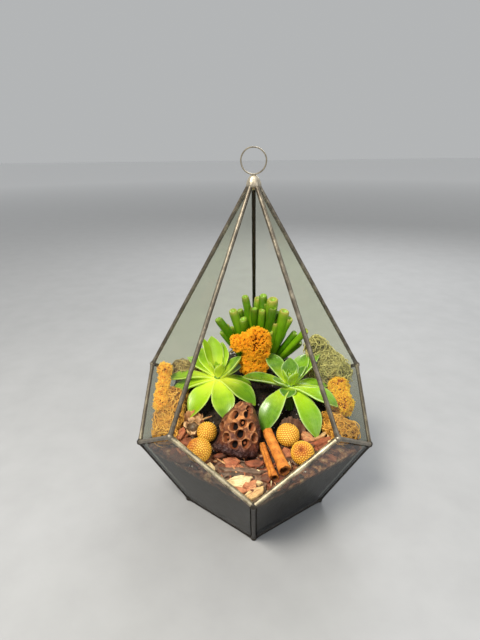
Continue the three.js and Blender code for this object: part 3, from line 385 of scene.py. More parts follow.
class Graph:
    """The nodes of one material, added a step at a time."""

    def __init__(self, name: str) -> None:
        """Starts an empty material of that name."""
        self.material = bpy.data.materials.new(name)
        self.material.use_nodes = True
        self.tree = self.material.node_tree
        self.tree.nodes.clear()
        self.end = self.tree.nodes.new("ShaderNodeOutputMaterial")
        self._place: Optional[NodeSocket] = None

    def step(self, kind: str, inputs: dict[Any, Socket], **settings: Any) -> bpy.types.Node:
        """Adds a node.

        Args:
            kind: The node's type, without its usual beginning.
            inputs: What goes into its sockets, by name or number.
            settings: The node's own options.

        Returns:
            The node.
        """
        node = self.tree.nodes.new("ShaderNode" + kind)
        for key, value in settings.items():
            setattr(node, key, value)
        for key, value in inputs.items():
            if isinstance(value, NodeSocket):
                self.tree.links.new(value, node.inputs[key])
            else:
                node.inputs[key].default_value = value
        return node

    def place(self) -> NodeSocket:
        """Where a point is in the object's own frame."""
        if self._place is None:
            self._place = self.step("TexCoord", {}).outputs["Object"]
        return self._place

    def stretched(self, scale: Trio, turn: Trio) -> NodeSocket:
        """The place, turned by Euler angles in radians and then scaled on each axis."""
        inputs = {"Vector": self.place(), "Scale": scale, "Rotation": turn}
        return self.step("Mapping", inputs, vector_type="TEXTURE").outputs[0]

    def noise(self, size: float, detail: float = 3, where: Any = None, rough: float = 0.55) -> Any:
        """Soft noise from 0 to 1, in lumps of that size and with so many finer layers, so strong."""
        inputs = {"Scale": 1 / (size * MM), "Detail": detail, "Roughness": rough}
        return self.step("TexNoise", {**inputs, "Vector": where or self.place()}).outputs["Fac"]

    def cells(self, size: float, feature: str = "F1", where: Any = None) -> Any:
        """The distance to scattered points or to the borders between them."""
        inputs = {"Scale": 1 / (size * MM), "Vector": where or self.place()}
        return self.step("TexVoronoi", inputs, feature=feature).outputs["Distance"]

    def value(self, name: str) -> NodeSocket:
        """A number that the mesh carries at its points."""
        return self.step("Attribute", {}, attribute_name=name).outputs["Fac"]

    def calc(self, operation: str, a: Socket, b: Socket = 0.0, clamp: bool = False) -> Any:
        """A sum on two numbers."""
        return self.step("Math", {0: a, 1: b}, operation=operation, use_clamp=clamp).outputs[0]

    def mul(self, a: Socket, b: Socket, clamp: bool = False) -> Any:
        """The product of two numbers."""
        return self.calc("MULTIPLY", a, b, clamp)

    def mix(self, a: Socket, share_a: float, b: Socket, share_b: float, clamp: bool = False) -> Any:
        """Two numbers added up, each times its share."""
        return self.calc("ADD", self.mul(a, share_a), self.mul(b, share_b), clamp)

    def remap(self, value: Socket, low: float, high: float, start: float = 0, end: float = 1) -> Any:
        """A value moved from one range to another, and kept in it."""
        inputs = {"Value": value, "From Min": low, "From Max": high, "To Min": start, "To Max": end}
        return self.step("MapRange", inputs).outputs[0]

    def ramp(self, value: Socket, stops: Stops) -> NodeSocket:
        """A colour picked by a value, from places between 0 and 1 and the colours there."""
        node = self.step("ValToRGB", {"Fac": value})
        band = node.color_ramp.elements
        while len(band) < len(stops):
            band.new(1.0)
        for element, (at, colour) in zip(band, stops):
            element.position = at
            element.color = linear(colour)
        return node.outputs["Color"]

    def blend(self, share: Socket, a: Any, b: Any, how: str = "MIX") -> NodeSocket:
        """Two colours, each a socket or as on a screen, blended with that share of the second."""
        first, second = (c if isinstance(c, NodeSocket) else linear(c) for c in (a, b))
        inputs = {0: share, 6: first, 7: second}
        return self.step("Mix", inputs, data_type="RGBA", blend_type=how).outputs[2]

    def bump(self, height: Socket, depth: float, strength: float = 1.0, under: Any = None) -> Any:
        """A relief of the given depth in millimetres, on top of another where one is given."""
        inputs = {"Height": height, "Distance": depth * MM, "Strength": strength}
        if under is not None:
            inputs["Normal"] = under
        return self.step("Bump", inputs).outputs[0]

    def finish(self, shader: NodeSocket) -> Material:
        """Joins the last shader to the material's output and returns the material."""
        self.tree.links.new(shader, self.end.inputs["Surface"])
        return self.material

    def surface(self, colour: Any, roughness: Socket, relief: Any = None, **more: Socket) -> Any:
        """Ends the material with one general surface shader.

        Args:
            colour: Its colour socket.
            roughness: A number or a socket.
            relief: A normal socket, or none.
            more: Further sockets, with _ for a space.

        Returns:
            The finished material.
        """
        inputs: dict[Any, Socket] = {"Base Color": colour, "Roughness": roughness}
        if relief is not None:
            inputs["Normal"] = relief
        inputs.update({key.replace("_", " "): value for key, value in more.items()})
        return self.finish(self.step("BsdfPrincipled", inputs).outputs[0])


@dataclass(frozen=True)
class Finish:
    """What all finishes share: a name, and a graph that each one paints in its own way."""

    name: str

    def make(self) -> Material:
        """Builds the material."""
        return self.paint(Graph(self.name))

    def paint(self, g: Graph) -> Material:
        """Adds the finish's own nodes.

        Args:
            g: The graph that they are added to.

        Returns:
            The finished material.
        """
        raise NotImplementedError


@dataclass(frozen=True)
class Patina(Finish):
    """Soldered metal under a brown-black patina, rubbed bright in places, with a painted highlight along
    the side of each bar that faces up and out.
    """

    dark: Colour
    mid: Colour
    bright: Colour
    rubbed_and_lit: float  # share of the surface that shows bright metal, both rubbed wear and painted highlight

    def paint(self, g: Graph) -> Material:
        """Builds the material."""
        patches = g.noise(9, 5)
        fine = g.noise(1.3, 6, rough=0.7)
        streaks = g.noise(3.2, 3)
        wear = g.mix(patches, 0.6, fine, 0.4)
        base = g.ramp(wear, [
            (0.0, self.dark), (0.62 - 0.35 * self.rubbed_and_lit, self.mid),
            (0.95 - 0.42 * self.rubbed_and_lit, self.bright)])
        # Painted highlight: bright metal is blended in where the bar faces up and out, broken by streaks of
        # wear.
        ridge = g.remap(g.value("ridge"), 0.15, 0.75, 0.0, 0.3 + 0.9 * self.rubbed_and_lit)
        colour = g.blend(g.mul(ridge, g.remap(streaks, 0.2, 0.6)), base, self.bright)
        rough = g.remap(fine, 0.3, 0.8, 0.34, 0.58)
        relief = g.bump(g.noise(2.4, 5), 0.22, 0.8, g.bump(fine, 0.07))
        return g.surface(colour, rough, relief, Metallic=0.72)


@dataclass(frozen=True)
class ClearGlass(Finish):
    """Thin window glass with a faint grey wash, dust and a few fine scratches."""

    tint: Colour
    dust: float
    gloss: float  # how much of the mirror part is kept

    def paint(self, g: Graph) -> Material:
        """Builds the material: a see-through part and a mirror part, split by the angle."""
        clear = g.step("BsdfTransparent", {"Color": linear(self.tint)}).outputs[0]
        waves = g.bump(g.noise(60, 2), 0.25, 0.12)
        mirror = g.step(
            "BsdfGlossy", {"Color": (1, 1, 1, 1), "Roughness": 0.03, "Normal": waves}).outputs[0]
        facing = g.mul(g.step("Fresnel", {"IOR": 1.5}).outputs[0], self.gloss)
        inside = g.step("NewGeometry", {}).outputs["Backfacing"]
        gloss = g.mul(facing, g.calc("SUBTRACT", 1.0, inside), True)
        pane = g.step("MixShader", {0: gloss, 1: clear, 2: mirror}).outputs[0]
        film = g.step("BsdfDiffuse", {"Color": linear((196, 196, 190))}).outputs[0]
        specks = g.remap(g.cells(5.5), 0.035, 0.075, 1.0, 0.0)
        rare = g.remap(g.noise(14, 2), 0.55, 0.62)
        lines = g.noise(3.0, 2, g.stretched((0.06, 1.0, 1.0), (0.5, 0.3, 0.8)))
        scratches = g.remap(lines, 0.735, 0.75)
        haze = g.remap(g.noise(26, 4), 0.35, 0.75, 0.15, 1.0)
        marks = g.calc("MAXIMUM", g.mul(specks, rare), scratches)
        film_share = g.calc("ADD", g.mul(haze, self.dust), g.mul(marks, 0.3), True)
        film_share = g.mul(film_share, g.calc("SUBTRACT", 1.0, inside))
        return g.finish(g.step("MixShader", {0: film_share, 1: pane, 2: film}).outputs[0])


class PottingSoil(Finish):
    """Dark moist soil with brown fibres and white perlite."""

    def paint(self, g: Graph) -> Material:
        """Builds the material."""
        grain = g.noise(1.6, 5, rough=0.7)
        lumps = g.noise(7, 3)
        mixed = g.mix(grain, 0.6, lumps, 0.4)
        earth = g.ramp(
            mixed, [(0.25, (15, 11, 9)), (0.5, (36, 26, 20)), (0.64, (66, 48, 35)), (0.8, (104, 80, 58))])
        where = g.step("SeparateXYZ", {0: g.place()}).outputs
        height, front = where["Z"], g.remap(where["Y"], -0.035, -0.012, 1.0, 0.0)
        shreds = g.noise(5.0, 3, g.stretched((1.0, 1.0, 1.9), (0.2, 0.3, 0.0)), 0.55)
        bark = g.ramp(
            shreds,
            [(0.36, (34, 22, 16)), (0.47, (122, 66, 40)), (0.56, (176, 122, 82)), (0.66, (226, 190, 146))],
        )
        band = g.calc(
            "MULTIPLY", g.remap(height, 0.0575, 0.0625), g.remap(height, 0.0675, 0.0695, 1.0, 0.0))
        strewn = g.blend(g.mul(g.mul(band, front), 0.85), earth, bark)
        stone = g.ramp(grain, [(0.3, (178, 172, 160)), (0.7, (240, 238, 232))])
        colour = g.blend(g.value("stone"), strewn, stone)
        relief = g.bump(grain, 0.5, 0.9, g.bump(g.cells(1.1), 0.3, 0.6))
        return g.surface(colour, g.remap(lumps, 0.3, 0.7, 0.62, 0.95), relief)


@dataclass(frozen=True)
class FleshyLeaf(Finish):
    """A glossy succulent leaf, paler at its root and along its margin."""

    root: Colour
    blade: Colour
    deep: Colour
    margin: Colour
    tip: Colour
    gloss: float

    def paint(self, g: Graph) -> Material:
        """Builds the material from the values along and across each leaf."""
        along = g.value("along")
        side = g.calc("ABSOLUTE", g.value("side"))
        mottle = g.noise(5.5, 4)
        fine = g.noise(0.9, 4)
        # The leaf's tone is partly its own colour and partly painted shade.
        shade = g.mix(mottle, 0.45, g.value("tone"), 0.55)
        body = g.ramp(shade, [(0.2, self.deep), (0.66, self.blade)])
        outer = g.mul(g.remap(along, 0.5, 0.85), g.remap(g.noise(16, 2), 0.35, 0.65))
        darkened = g.blend(g.mul(outer, 0.75), body, self.deep)
        rooted = g.blend(g.remap(along, 0.05, 0.58, 1.0, 0.0), darkened, self.root)
        tipped = g.blend(g.remap(along, 0.93, 1.0, 0.0, 0.6), rooted, self.tip)
        edge = g.calc("POWER", side, 12.0)
        edged = g.blend(g.mul(edge, 0.75), tipped, self.margin)
        under = g.blend(g.remap(g.value("under"), 0.3, 0.9, 0.0, 0.35), edged, self.root)
        veins = g.step(
            "CombineXYZ", {"X": g.mul(g.value("side"), 0.011), "Y": g.mul(along, 0.0035)}).outputs[0]
        lines = g.noise(0.8, 2, veins)
        colour = g.blend(g.remap(lines, 0.35, 0.75, 0.0, 0.14), under, self.margin)
        relief = g.bump(lines, 0.1, 0.5, g.bump(fine, 0.04, 0.5))
        rough = g.remap(mottle, 0.3, 0.7, self.gloss, self.gloss + 0.14)
        return g.surface(
            colour, rough, relief, Subsurface_Weight=0.25, Subsurface_Radius=(0.7, 1.0, 0.1),
            Subsurface_Scale=0.004, Specular_IOR_Level=0.34, Coat_Weight=0.14, Coat_Roughness=0.12)


class FingerLeaf(Finish):
    """A smooth round finger leaf with a pale, red-rimmed dish on its tip."""

    def paint(self, g: Graph) -> Material:
        """Builds the material from the values along each finger."""
        along = g.value("along")
        shade = g.mix(g.noise(9, 3), 0.45, g.value("tone"), 0.55)
        body = g.ramp(shade, [(0.15, (52, 102, 2)), (0.5, (86, 144, 4)), (0.85, (128, 180, 22))])
        lower = g.blend(g.remap(along, 0.0, 0.4, 0.6, 0.0), body, (52, 92, 6))
        dish = g.blend(g.value("dish"), lower, (140, 184, 60))
        rim = g.mul(g.value("rim"), g.remap(g.value("tone"), 0.3, 0.9, 0.25, 0.95))
        colour = g.blend(g.mul(rim, 0.7), dish, (190, 150, 84))
        specks = g.remap(g.cells(1.2), 0.12, 0.2, 1.0, 0.0)
        dotted = g.blend(g.mul(specks, 0.3), colour, (150, 190, 80))
        relief = g.bump(g.noise(2.2, 3), 0.12, 0.5)
        return g.surface(
            dotted, g.remap(g.noise(4, 2), 0.3, 0.7, 0.32, 0.46), relief, Subsurface_Weight=0.14,
            Subsurface_Radius=(0.5, 1.0, 0.1), Subsurface_Scale=0.003, Specular_IOR_Level=0.34,
            Coat_Weight=0.08, Coat_Roughness=0.2)


@dataclass(frozen=True)
class DryTufts(Finish):
    """Preserved lichen or moss: painted shade darkens its depths, and its outer tips are bright."""

    # The colour of the depths is a painted shade.
    depth: Colour
    body: Colour
    tips: Colour
    stain: Colour
    stained: float  # share that is browned

    def paint(self, g: Graph) -> Material:
        """Builds the material from how far out a point stands; the deeper a point, the more painted shade
        it gets.
        """
        out = g.value("out")
        fine = g.noise(1.5, 4, rough=0.7)
        level = g.mix(out, 0.75, fine, 0.3, True)
        # Painted shade: low values of out take the depth colour.
        colour = g.ramp(level, [(0.12, self.depth), (0.5, self.body), (0.92, self.tips)])
        toned = g.blend(g.mul(g.value("tone"), 0.4), colour, self.tips, "MULTIPLY")
        low = 0.66 - 0.3 * self.stained
        patch = g.remap(g.noise(12, 3), low, low + 0.18, 0.0, 0.85)
        stained = g.blend(patch, toned, self.stain)
        return g.surface(
            stained, 0.88, g.bump(fine, 0.3, 0.8), Specular_IOR_Level=0.12, Sheen_Weight=0.04,
            Sheen_Roughness=0.5)


class DriedPod(Finish):
    """A dried seed head: dark wine-brown, tan on its ridges, with painted highlight on its ridges and on
    the middle of its pitted face, and painted shade that turns its pits nearly black and darkens its
    flanks.
    """

    def paint(self, g: Graph) -> Material:
        """Builds the material from the pits, ridges, painted highlight and painted shade that the mesh
        carries.
        """
        wood = g.noise(5, 5, rough=0.65)
        fine = g.noise(0.9, 5, rough=0.7)
        base = g.ramp(
            g.mix(wood, 0.65, fine, 0.35),
            [(0.3, (44, 20, 18)), (0.46, (84, 44, 34)), (0.6, (122, 70, 50)), (0.78, (176, 116, 80))])
        # Painted highlight: gold over the middle of the pitted face.
        worn = g.mul(g.value("worn"), g.remap(wood, 0.4, 0.6, 0.15, 1.0))
        golden = g.blend(g.mul(worn, 0.85), base, (216, 142, 66))
        ridge = g.mul(g.value("ridge"), g.remap(wood, 0.42, 0.62, 0.1, 0.8))
        ridged = g.blend(ridge, golden, (212, 148, 96))
        # Dark colours for the foot, and painted shade on the flanks.
        rim = g.ramp(fine, [(0.36, (22, 10, 11)), (0.54, (54, 30, 30)), (0.7, (134, 106, 102))])
        skirt = g.blend(g.mul(g.value("skirt"), 0.92), ridged, rim)
        lined = g.blend(g.remap(g.value("pit"), 0.1, 0.45, 0.0, 0.8), skirt, (146, 82, 44))
        # Painted shade: the floors of the pits go nearly black.
        colour = g.blend(g.remap(g.value("pit"), 0.74, 1.0), lined, (14, 6, 5))
        relief = g.bump(wood, 0.7, 0.9, g.bump(fine, 0.3, 0.8))
        dull = g.calc("MAXIMUM", g.remap(fine, 0.3, 0.7, 0.45, 0.7), g.mul(g.value("pit"), 0.95))
        return g.surface(colour, dull, relief, Specular_IOR_Level=0.3)


class FruitScales(Finish):
    """Golden overlapping scales with pale tips and amber gaps, partly their own colour and partly painted
    highlight on the tips and painted shade in the gaps.
    """

    def paint(self, g: Graph) -> Material:
        """Builds the material from the scales, the dimple and the bruise on the mesh."""
        warm = g.noise(7, 3)
        base = g.ramp(warm, [(0.3, (240, 172, 40)), (0.55, (252, 196, 56)), (0.75, (255, 216, 88))])
        # Amber gaps between the scales, partly painted shade in the creases.
        grooved = g.blend(g.remap(g.value("groove"), 0.3, 0.9, 0.0, 0.85), base, (184, 104, 14))
        # Pale crests, partly painted highlight.
        tips = g.blend(g.remap(g.value("crest"), 0.35, 0.9, 0.0, 0.85), grooved, (255, 230, 130))
        blush = g.mul(g.value("blush"), g.remap(g.noise(4, 3), 0.3, 0.6, 0.35, 1.0))
        blushed = g.blend(blush, tips, (196, 104, 34), "MULTIPLY")
        colour = g.blend(g.value("dimple"), blushed, (122, 52, 20))
        relief = g.bump(g.noise(0.7, 4), 0.12, 0.7)
        return g.surface(colour, 0.5, relief, Subsurface_Weight=0.06, Subsurface_Scale=0.002)


class RolledBark(Finish):
    """Cinnamon bark: orange-brown, streaked along its length, darker on the inside."""

    def paint(self, g: Graph) -> Material:
        """Builds the material from the lengthwise streaks that the mesh carries."""
        streak_place = g.step(
            "CombineXYZ", {"X": g.mul(g.value("turn"), 0.02), "Y": g.mul(g.value("along"), 0.006)},
        ).outputs[0]
        streaks = g.noise(0.9, 5, streak_place, 0.65)
        blotch = g.noise(4.5, 4)
        mixed = g.mix(streaks, 0.55, blotch, 0.45)
        base = g.ramp(
            mixed,
            [(0.34, (122, 60, 14)), (0.48, (206, 120, 38)), (0.6, (234, 154, 62)), (0.8, (252, 198, 116))],
        )
        colour = g.blend(g.mul(g.value("inner"), 0.85), base, (96, 46, 16))
        relief = g.bump(streaks, 0.35, 0.9, g.bump(g.noise(0.8, 4), 0.15, 0.7))
        return g.surface(colour, g.remap(blotch, 0.3, 0.7, 0.55, 0.8), relief)


@dataclass(frozen=True)
class DryHusk(Finish):
    """A dry tan cup: fibrous and darker inside."""

    pale: Colour
    mid: Colour
    dark: Colour
    roughness: float

    def paint(self, g: Graph) -> Material:
        """Builds the material."""
        fibres = g.noise(1.1, 5, g.stretched((1.0, 1.0, 4.0), (0.4, 0.1, 0.0)), 0.65)
        patches = g.noise(6, 3)
        mixed = g.mix(fibres, 0.6, patches, 0.4)
        base = g.ramp(mixed, [(0.3, self.dark), (0.52, self.mid), (0.72, self.pale)])
        colour = g.blend(g.mul(g.value("inner"), 0.5), base, self.dark)
        relief = g.bump(fibres, 0.4, 0.8, g.bump(g.noise(0.6, 3), 0.1, 0.6))
        return g.surface(colour, self.roughness, relief)


class BarkChips(Finish):
    """Bark and wood chips, each with its own tone, grained along its length."""

    def paint(self, g: Graph) -> Material:
        """Builds the material from each chip's tone and grain direction."""
        grain_place = g.step("CombineXYZ", {
            "X": g.mul(g.value("aside"), MM), "Y": g.mul(g.value("along"), 0.22 * MM),
            "Z": g.value("tone")}).outputs[0]
        grain = g.noise(0.85, 5, grain_place, 0.65)
        patch = g.noise(6.5, 2)
        tone = g.calc("ADD", g.value("tone"), g.mul(g.calc("SUBTRACT", patch, 0.5), 0.34), True)
        base = g.ramp(tone, [
            (0.0, (252, 228, 174)), (0.14, (238, 198, 134)), (0.26, (212, 140, 94)),
            (0.42, (176, 98, 64)), (0.56, (112, 64, 42)), (0.7, (146, 116, 92)), (0.86, (98, 80, 66)),
            (1.0, (54, 38, 28))])
        dark = g.blend(0.6, base, (60, 34, 22), "MULTIPLY")
        colour = g.blend(g.remap(grain, 0.34, 0.62), dark, base)
        relief = g.bump(grain, 0.5, 0.9, g.bump(g.noise(0.5, 4), 0.12, 0.7))
        return g.surface(colour, g.remap(patch, 0.3, 0.7, 0.6, 0.85), relief)


@dataclass(frozen=True)
class PaleFloor(Finish):
    """A plain pale matt table top, painted paler with distance as painted light that makes up for the
    lamps' fall-off towards the horizon.
    """

    colour: Colour
    painted_far_light: Colour

    def paint(self, g: Graph) -> Material:
        """Builds the material."""
        away = g.step("VectorMath", {0: g.place()}, operation="LENGTH").outputs["Value"]
        bright = tuple(min(255, c + 6) for c in self.colour)
        near = g.ramp(g.noise(40, 4), [(0.3, self.colour), (0.7, bright)])
        # Painted light: the floor grows paler with distance, where the lamps' light falls off.
        colour = g.blend(g.remap(away, 0.6, 4.0), near, self.painted_far_light)
        return g.surface(colour, 0.7, g.bump(g.noise(2.0, 4), 0.05, 0.3))


# ---- the room inside the case ----


@dataclass(frozen=True)
class Face:
    """A flat side of the case: a point on it and the direction out of the case."""

    at: Array
    out: Array


@dataclass
class CaseShape:
    """The corners and faces of the five-sided case and the ground inside it."""

    sides: int = 5
    upper_radius: float = 100.0
    lower_radius: float = 101.0
    base_radius: float = 63.0
    lower_rise: float = 70.5
    bar: float = 3.5
    lining: float = 2.45
    gap: float = 0.3

    def __post_init__(self) -> None:
        """Works out the heights at which the panes are flat, and the faces."""
        half = pi / self.sides
        self.base_z = self.bar / 2
        self.lower_z = self.base_z + self.lower_rise
        rise = (self.upper_radius - self.base_radius * cos(half)) * self.lower_rise
        rise /= (self.lower_radius - self.base_radius) * cos(half)
        fold = self.upper_radius * cos(half) / self.lower_radius
        self.upper_z = self.base_z + rise
        self.apex = np.array([0, 0, self.base_z + (rise - self.lower_rise * fold) / (1 - fold)])
        self.floor = self._face(self.base(0), self.base(1), self.base(2))
        self.slants: list[Face] = []
        for i in range(self.sides):
            self.slants.append(self._face(self.base(i), self.base(i + 1), self.lower(i)))
            self.slants.append(self._face(self.apex, self.upper(i), self.lower(i + 1)))

    def _face(self, a: Array, b: Array, c: Array) -> Face:
        """The face through three corners."""
        out = unit(np.cross(b - a, c - a))
        inside = a - np.array([0, 0, self.lower_z])
        return Face(a, out if out @ inside >= 0 else -out)

    def upper(self, i: int) -> Array:
        """An upper zigzag corner."""
        turn = 360 / self.sides
        return polar(self.upper_radius, turn * i + turn / 2, self.upper_z)

    def lower(self, i: int) -> Array:
        """A lower zigzag corner, the widest point."""
        return polar(self.lower_radius, 360 / self.sides * i, self.lower_z)

    def base(self, i: int) -> Array:
        """A corner of the base."""
        return polar(self.base_radius, 360 / self.sides * i, self.base_z)

    def keep_inside(self, middle: Array, size: Array) -> Array:
        """Moves the middle of a rounded thing until all of it is inside the slanting faces.

        Args:
            middle: Where it would be.
            size: Its half-widths.

        Returns:
            Where it is.
        """
        moved = np.array(middle, float)
        for face in self.slants:
            reach = self.lining + np.linalg.norm(size * face.out)
            over = (moved - face.at) @ face.out + reach
            if over > 0:
                moved = moved - over * face.out
        return moved

    def tuck(self, points: Array, lining: float) -> Array:
        """Moves each point that is too near a face, or beyond it, straight back in.

        Args:
            points: The points.
            lining: How far inside the faces they stay.

        Returns:
            The points that were moved and those that weren't.
        """
        moved = np.array(points, float)
        for _ in range(2):
            for face in [self.floor, *self.slants]:
                over = dot(moved - face.at, face.out) + lining
                moved = moved - np.maximum(over, 0) * face.out
        return moved

    def soil_height(self, x: Any, y: Any) -> Any:
        """Height of the soil: low at the open front, banked up towards the back."""
        waves = 0.8 * np.sin(x / 17 + 1.3) * np.cos(y / 15)
        return self.lower_z - 7 + 31 * smooth((y + 60) / 150) + waves + 0.5 * np.sin(x / 25 - y / 21)

    def over_soil(self, points: Array, lift: float) -> Array:
        """Raises each point that is below the soil to stand a little over it."""
        moved = np.array(points, float)
        level = self.soil_height(moved[..., 0], moved[..., 1]) + lift
        moved[..., 2] = np.maximum(moved[..., 2], level)
        return moved


# ---- the soldered case ----


@dataclass
class SolderedCase:
    """The bars, their solder joints, the collar, the ring and the panes."""

    shape: CaseShape
    sides: int = 18
    solder_radius: float = 2.9
    ring_outer: float = 9.8
    ring_thick: float = 1.1
    ring_band: float = 3.4
    looks: dict[WearAndLight, Material] = field(default_factory=dict)

    def __post_init__(self) -> None:
        """Makes the finishes of the metal and the glass."""
        self.looks = {
            WearAndLight.DARK: Patina("patina_dark", (26, 23, 20), (50, 45, 39), (112, 104, 90), 0.05).make(),
            WearAndLight.AGED: Patina("patina_aged", (52, 47, 40), (96, 88, 76), (178, 168, 146), 0.4).make(),
            WearAndLight.RUBBED_AND_LIT: Patina(
                "patina_rubbed_and_lit", (50, 44, 36), (106, 94, 76), (242, 228, 190), 0.55).make()}
        self.solder = Patina("solder_collar", (60, 52, 42), (120, 110, 94), (214, 204, 182), 0.7).make()
        self.glass = ClearGlass("clear_glass", (246, 247, 240), 0.004, 0.26).make()
        self.smoky = ClearGlass("smoky_glass", (218, 219, 214), 0.012, 0.5).make()

    def bar(self, draft: Draft, a: Array, b: Array, outward: Array, ends: Pair, seed: int) -> None:
        """Adds a bar between two corners: a rounded, slightly uneven seam of solder.

        Args:
            draft: The piece that it is added to.
            a: One corner.
            b: The other corner.
            outward: The direction out of the case at the bar.
            ends: How far it stops before each corner.
            seed: Which pattern of unevenness it has.
        """
        run = np.linalg.norm(b - a)
        along = (b - a) / run
        out, side = across(along, outward)
        stations = max(8, int((run - sum(ends)) / 1.6))
        reach = np.linspace(ends[0], run - ends[1], stations)
        angle = around(self.sides)
        corner = 2.5  # power of the rounded square that a bar's section follows
        half = 0.97 * self.shape.bar / 2
        power = (np.abs(np.cos(angle)) ** corner + np.abs(np.sin(angle)) ** corner) ** (-1 / corner)
        middle = a + along * reach[:, None]
        flare = 0.35 * np.exp(-((np.minimum(reach, run - reach) / 4.5) ** 2))
        direction = spokes(angle, out, side)
        spots = middle[:, None] + direction[None] * half
        uneven = 0.08 * noise(spots, 6.0, seed) + 0.04 * noise(spots, 1.9, seed + 1) - 0.06
        radius = half * power[None] + uneven + flare[:, None]
        rings = middle[:, None] + direction[None] * radius[..., None]
        rings[..., 2] = np.maximum(rings[..., 2], 0.02)
        # The side that faces up and out carries the painted highlight.
        lit = unit(out + 0.9 * UP)
        draft.loft(rings, ridge=np.maximum(0, direction @ lit) ** 7)

    def blob(self, draft: Draft, corner: Array, seed: int) -> None:
        """Adds a rounded blob of solder on a corner."""
        way = ball(10, 16, 0.12, 1.0)
        radius = 0.93 * self.solder_radius + 0.22 * noise(way * 3, 1.4, seed)
        points = corner + way * radius[..., None]
        points[..., 2] = np.maximum(points[..., 2], 0.02)
        draft.loft(points[::-1], ridge=0.5)

    def build_bars(self) -> None:
        """Builds one piece for each bar, with the joint that belongs to it."""
        s = self.shape
        for i in range(s.sides):
            up, low, base = s.upper(i), s.lower(i), s.base(i)
            next_low, next_base = s.lower(i + 1), s.base(i + 1)
            # Painted shade: the back upper bar takes the dark patina. Painted highlight: the two front rim
            # bars take the rubbed patina, over real rubbed wear.
            upper = WearAndLight.DARK if i == s.sides // 2 else WearAndLight.AGED
            rise = WearAndLight.RUBBED_AND_LIT if i == 0 else WearAndLight.AGED
            fall = WearAndLight.RUBBED_AND_LIT if i == s.sides - 1 else WearAndLight.AGED
            jobs = [
                (f"upper_bar_{i + 1}", s.apex, up, up, up, (3.2, 0.0), upper),
                (f"zigzag_bar_{i + 1}_rise", low, up, low + up, None, (0.6, 0.6), rise),
                (f"zigzag_bar_{i + 1}_fall", up, next_low, up + next_low, None, (0.6, 0.6), fall),
                (f"lower_bar_{i + 1}", base, low, low, low, (0.6, 0.0), WearAndLight.DARK),
                (f"base_bar_{i + 1}", base, next_base, None, base, (0.0, 0.6), WearAndLight.DARK)]
            for k, (node, a, b, outward, joint, ends, wear) in enumerate(jobs):
                draft = Draft()
                hint = -UP if outward is None else np.array([outward[0], outward[1], 0.0])
                self.bar(draft, a, b, unit(hint), ends, 10 * i + k)
                if joint is not None:
                    self.blob(draft, joint, 10 * i + k)
                fit(draft.make(f"{node}_seam", 60), node, Slot.BARS, self.looks[wear])

    def build_collar(self) -> None:
        """Builds the lump of solder round the apex."""
        profile = [(2.4, -9.2), (5.2, -6.6), (5.1, -4.4), (4.4, -2.4), (3.3, -0.4), (2.2, 0.8), (0.8, 1.15)]
        heights = np.linspace(0, 1, 22)
        shape = spline(np.linspace(0, 1, len(profile)), profile, heights)
        angle = around(30)
        lobes = 1 + 0.07 * np.cos(5 * (angle + pi / 2 - pi / 5)) + 0.04 * np.sin(3 * angle + 0.6)
        radius = shape[:, :1] * lobes[None]
        rings = lathe(radius, shape[:, 1:] + self.shape.apex[2])
        rings += 0.25 * noise(rings, 2.2, 5)[..., None] * unit(rings - self.shape.apex)
        draft = Draft()
        draft.loft(rings, ridge=0.4)
        fit(draft.make("apex_solder_lump"), "apex_solder", Slot.SOLDER, self.solder)

    def build_ring(self) -> None:
        """Builds the flat band of the hanging ring, its two long edges rounded."""
        segments, corners = 96, 12
        centre = self.shape.apex[2] + 0.9 + self.shape.gap + self.ring_outer
        a = around(segments)[:, None]
        dent = 0.05 * np.sin(3 * a + 1) + 0.04 * np.sin(7 * a)
        t = around(corners)
        u = np.copysign(np.abs(np.cos(t)) ** 0.45, np.cos(t)) * self.ring_thick / 2
        w = np.copysign(np.abs(np.sin(t)) ** 0.45, np.sin(t)) * self.ring_band / 2
        reach = self.ring_outer - self.ring_thick / 2 + u + dent
        x, z = reach * np.cos(a), centre + reach * np.sin(a)
        points = np.stack([x, w + 0.06 * np.sin(5 * a), z], axis=-1)
        draft = Draft()
        quads = skin(segments + 1, corners) % (segments * corners)
        draft.add(points, [quads[:, ::-1]], ridge=0.6)
        fit(draft.make("hanging_ring_band", 50), "hanging_ring", Slot.RING, self.looks[WearAndLight.AGED])

    def dress_panes(self) -> None:
        """Gives each pane of the frame its glass; the panes keep their own mesh."""
        for name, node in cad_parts.items():
            if "pane" in name:
                node.data.materials.clear()
                node.data.materials.append(self.glass if "upper" in name else self.smoky)
                LOG.info("%s has its glass", name)

    def build(self) -> None:
        """Builds all of the case."""
        self.build_bars()
        self.build_collar()
        self.build_ring()
        self.dress_panes()


@dataclass
class Maker:
    """What builds one piece in the case and gathers its surface in a draft of its own."""

    shape: CaseShape
    draft: Draft = field(default_factory=Draft, init=False)

    def ground(self, x: float, y: float) -> float:
        """Height of the soil at one place."""
        return float(self.shape.soil_height(x, y))


# ---- soil ----


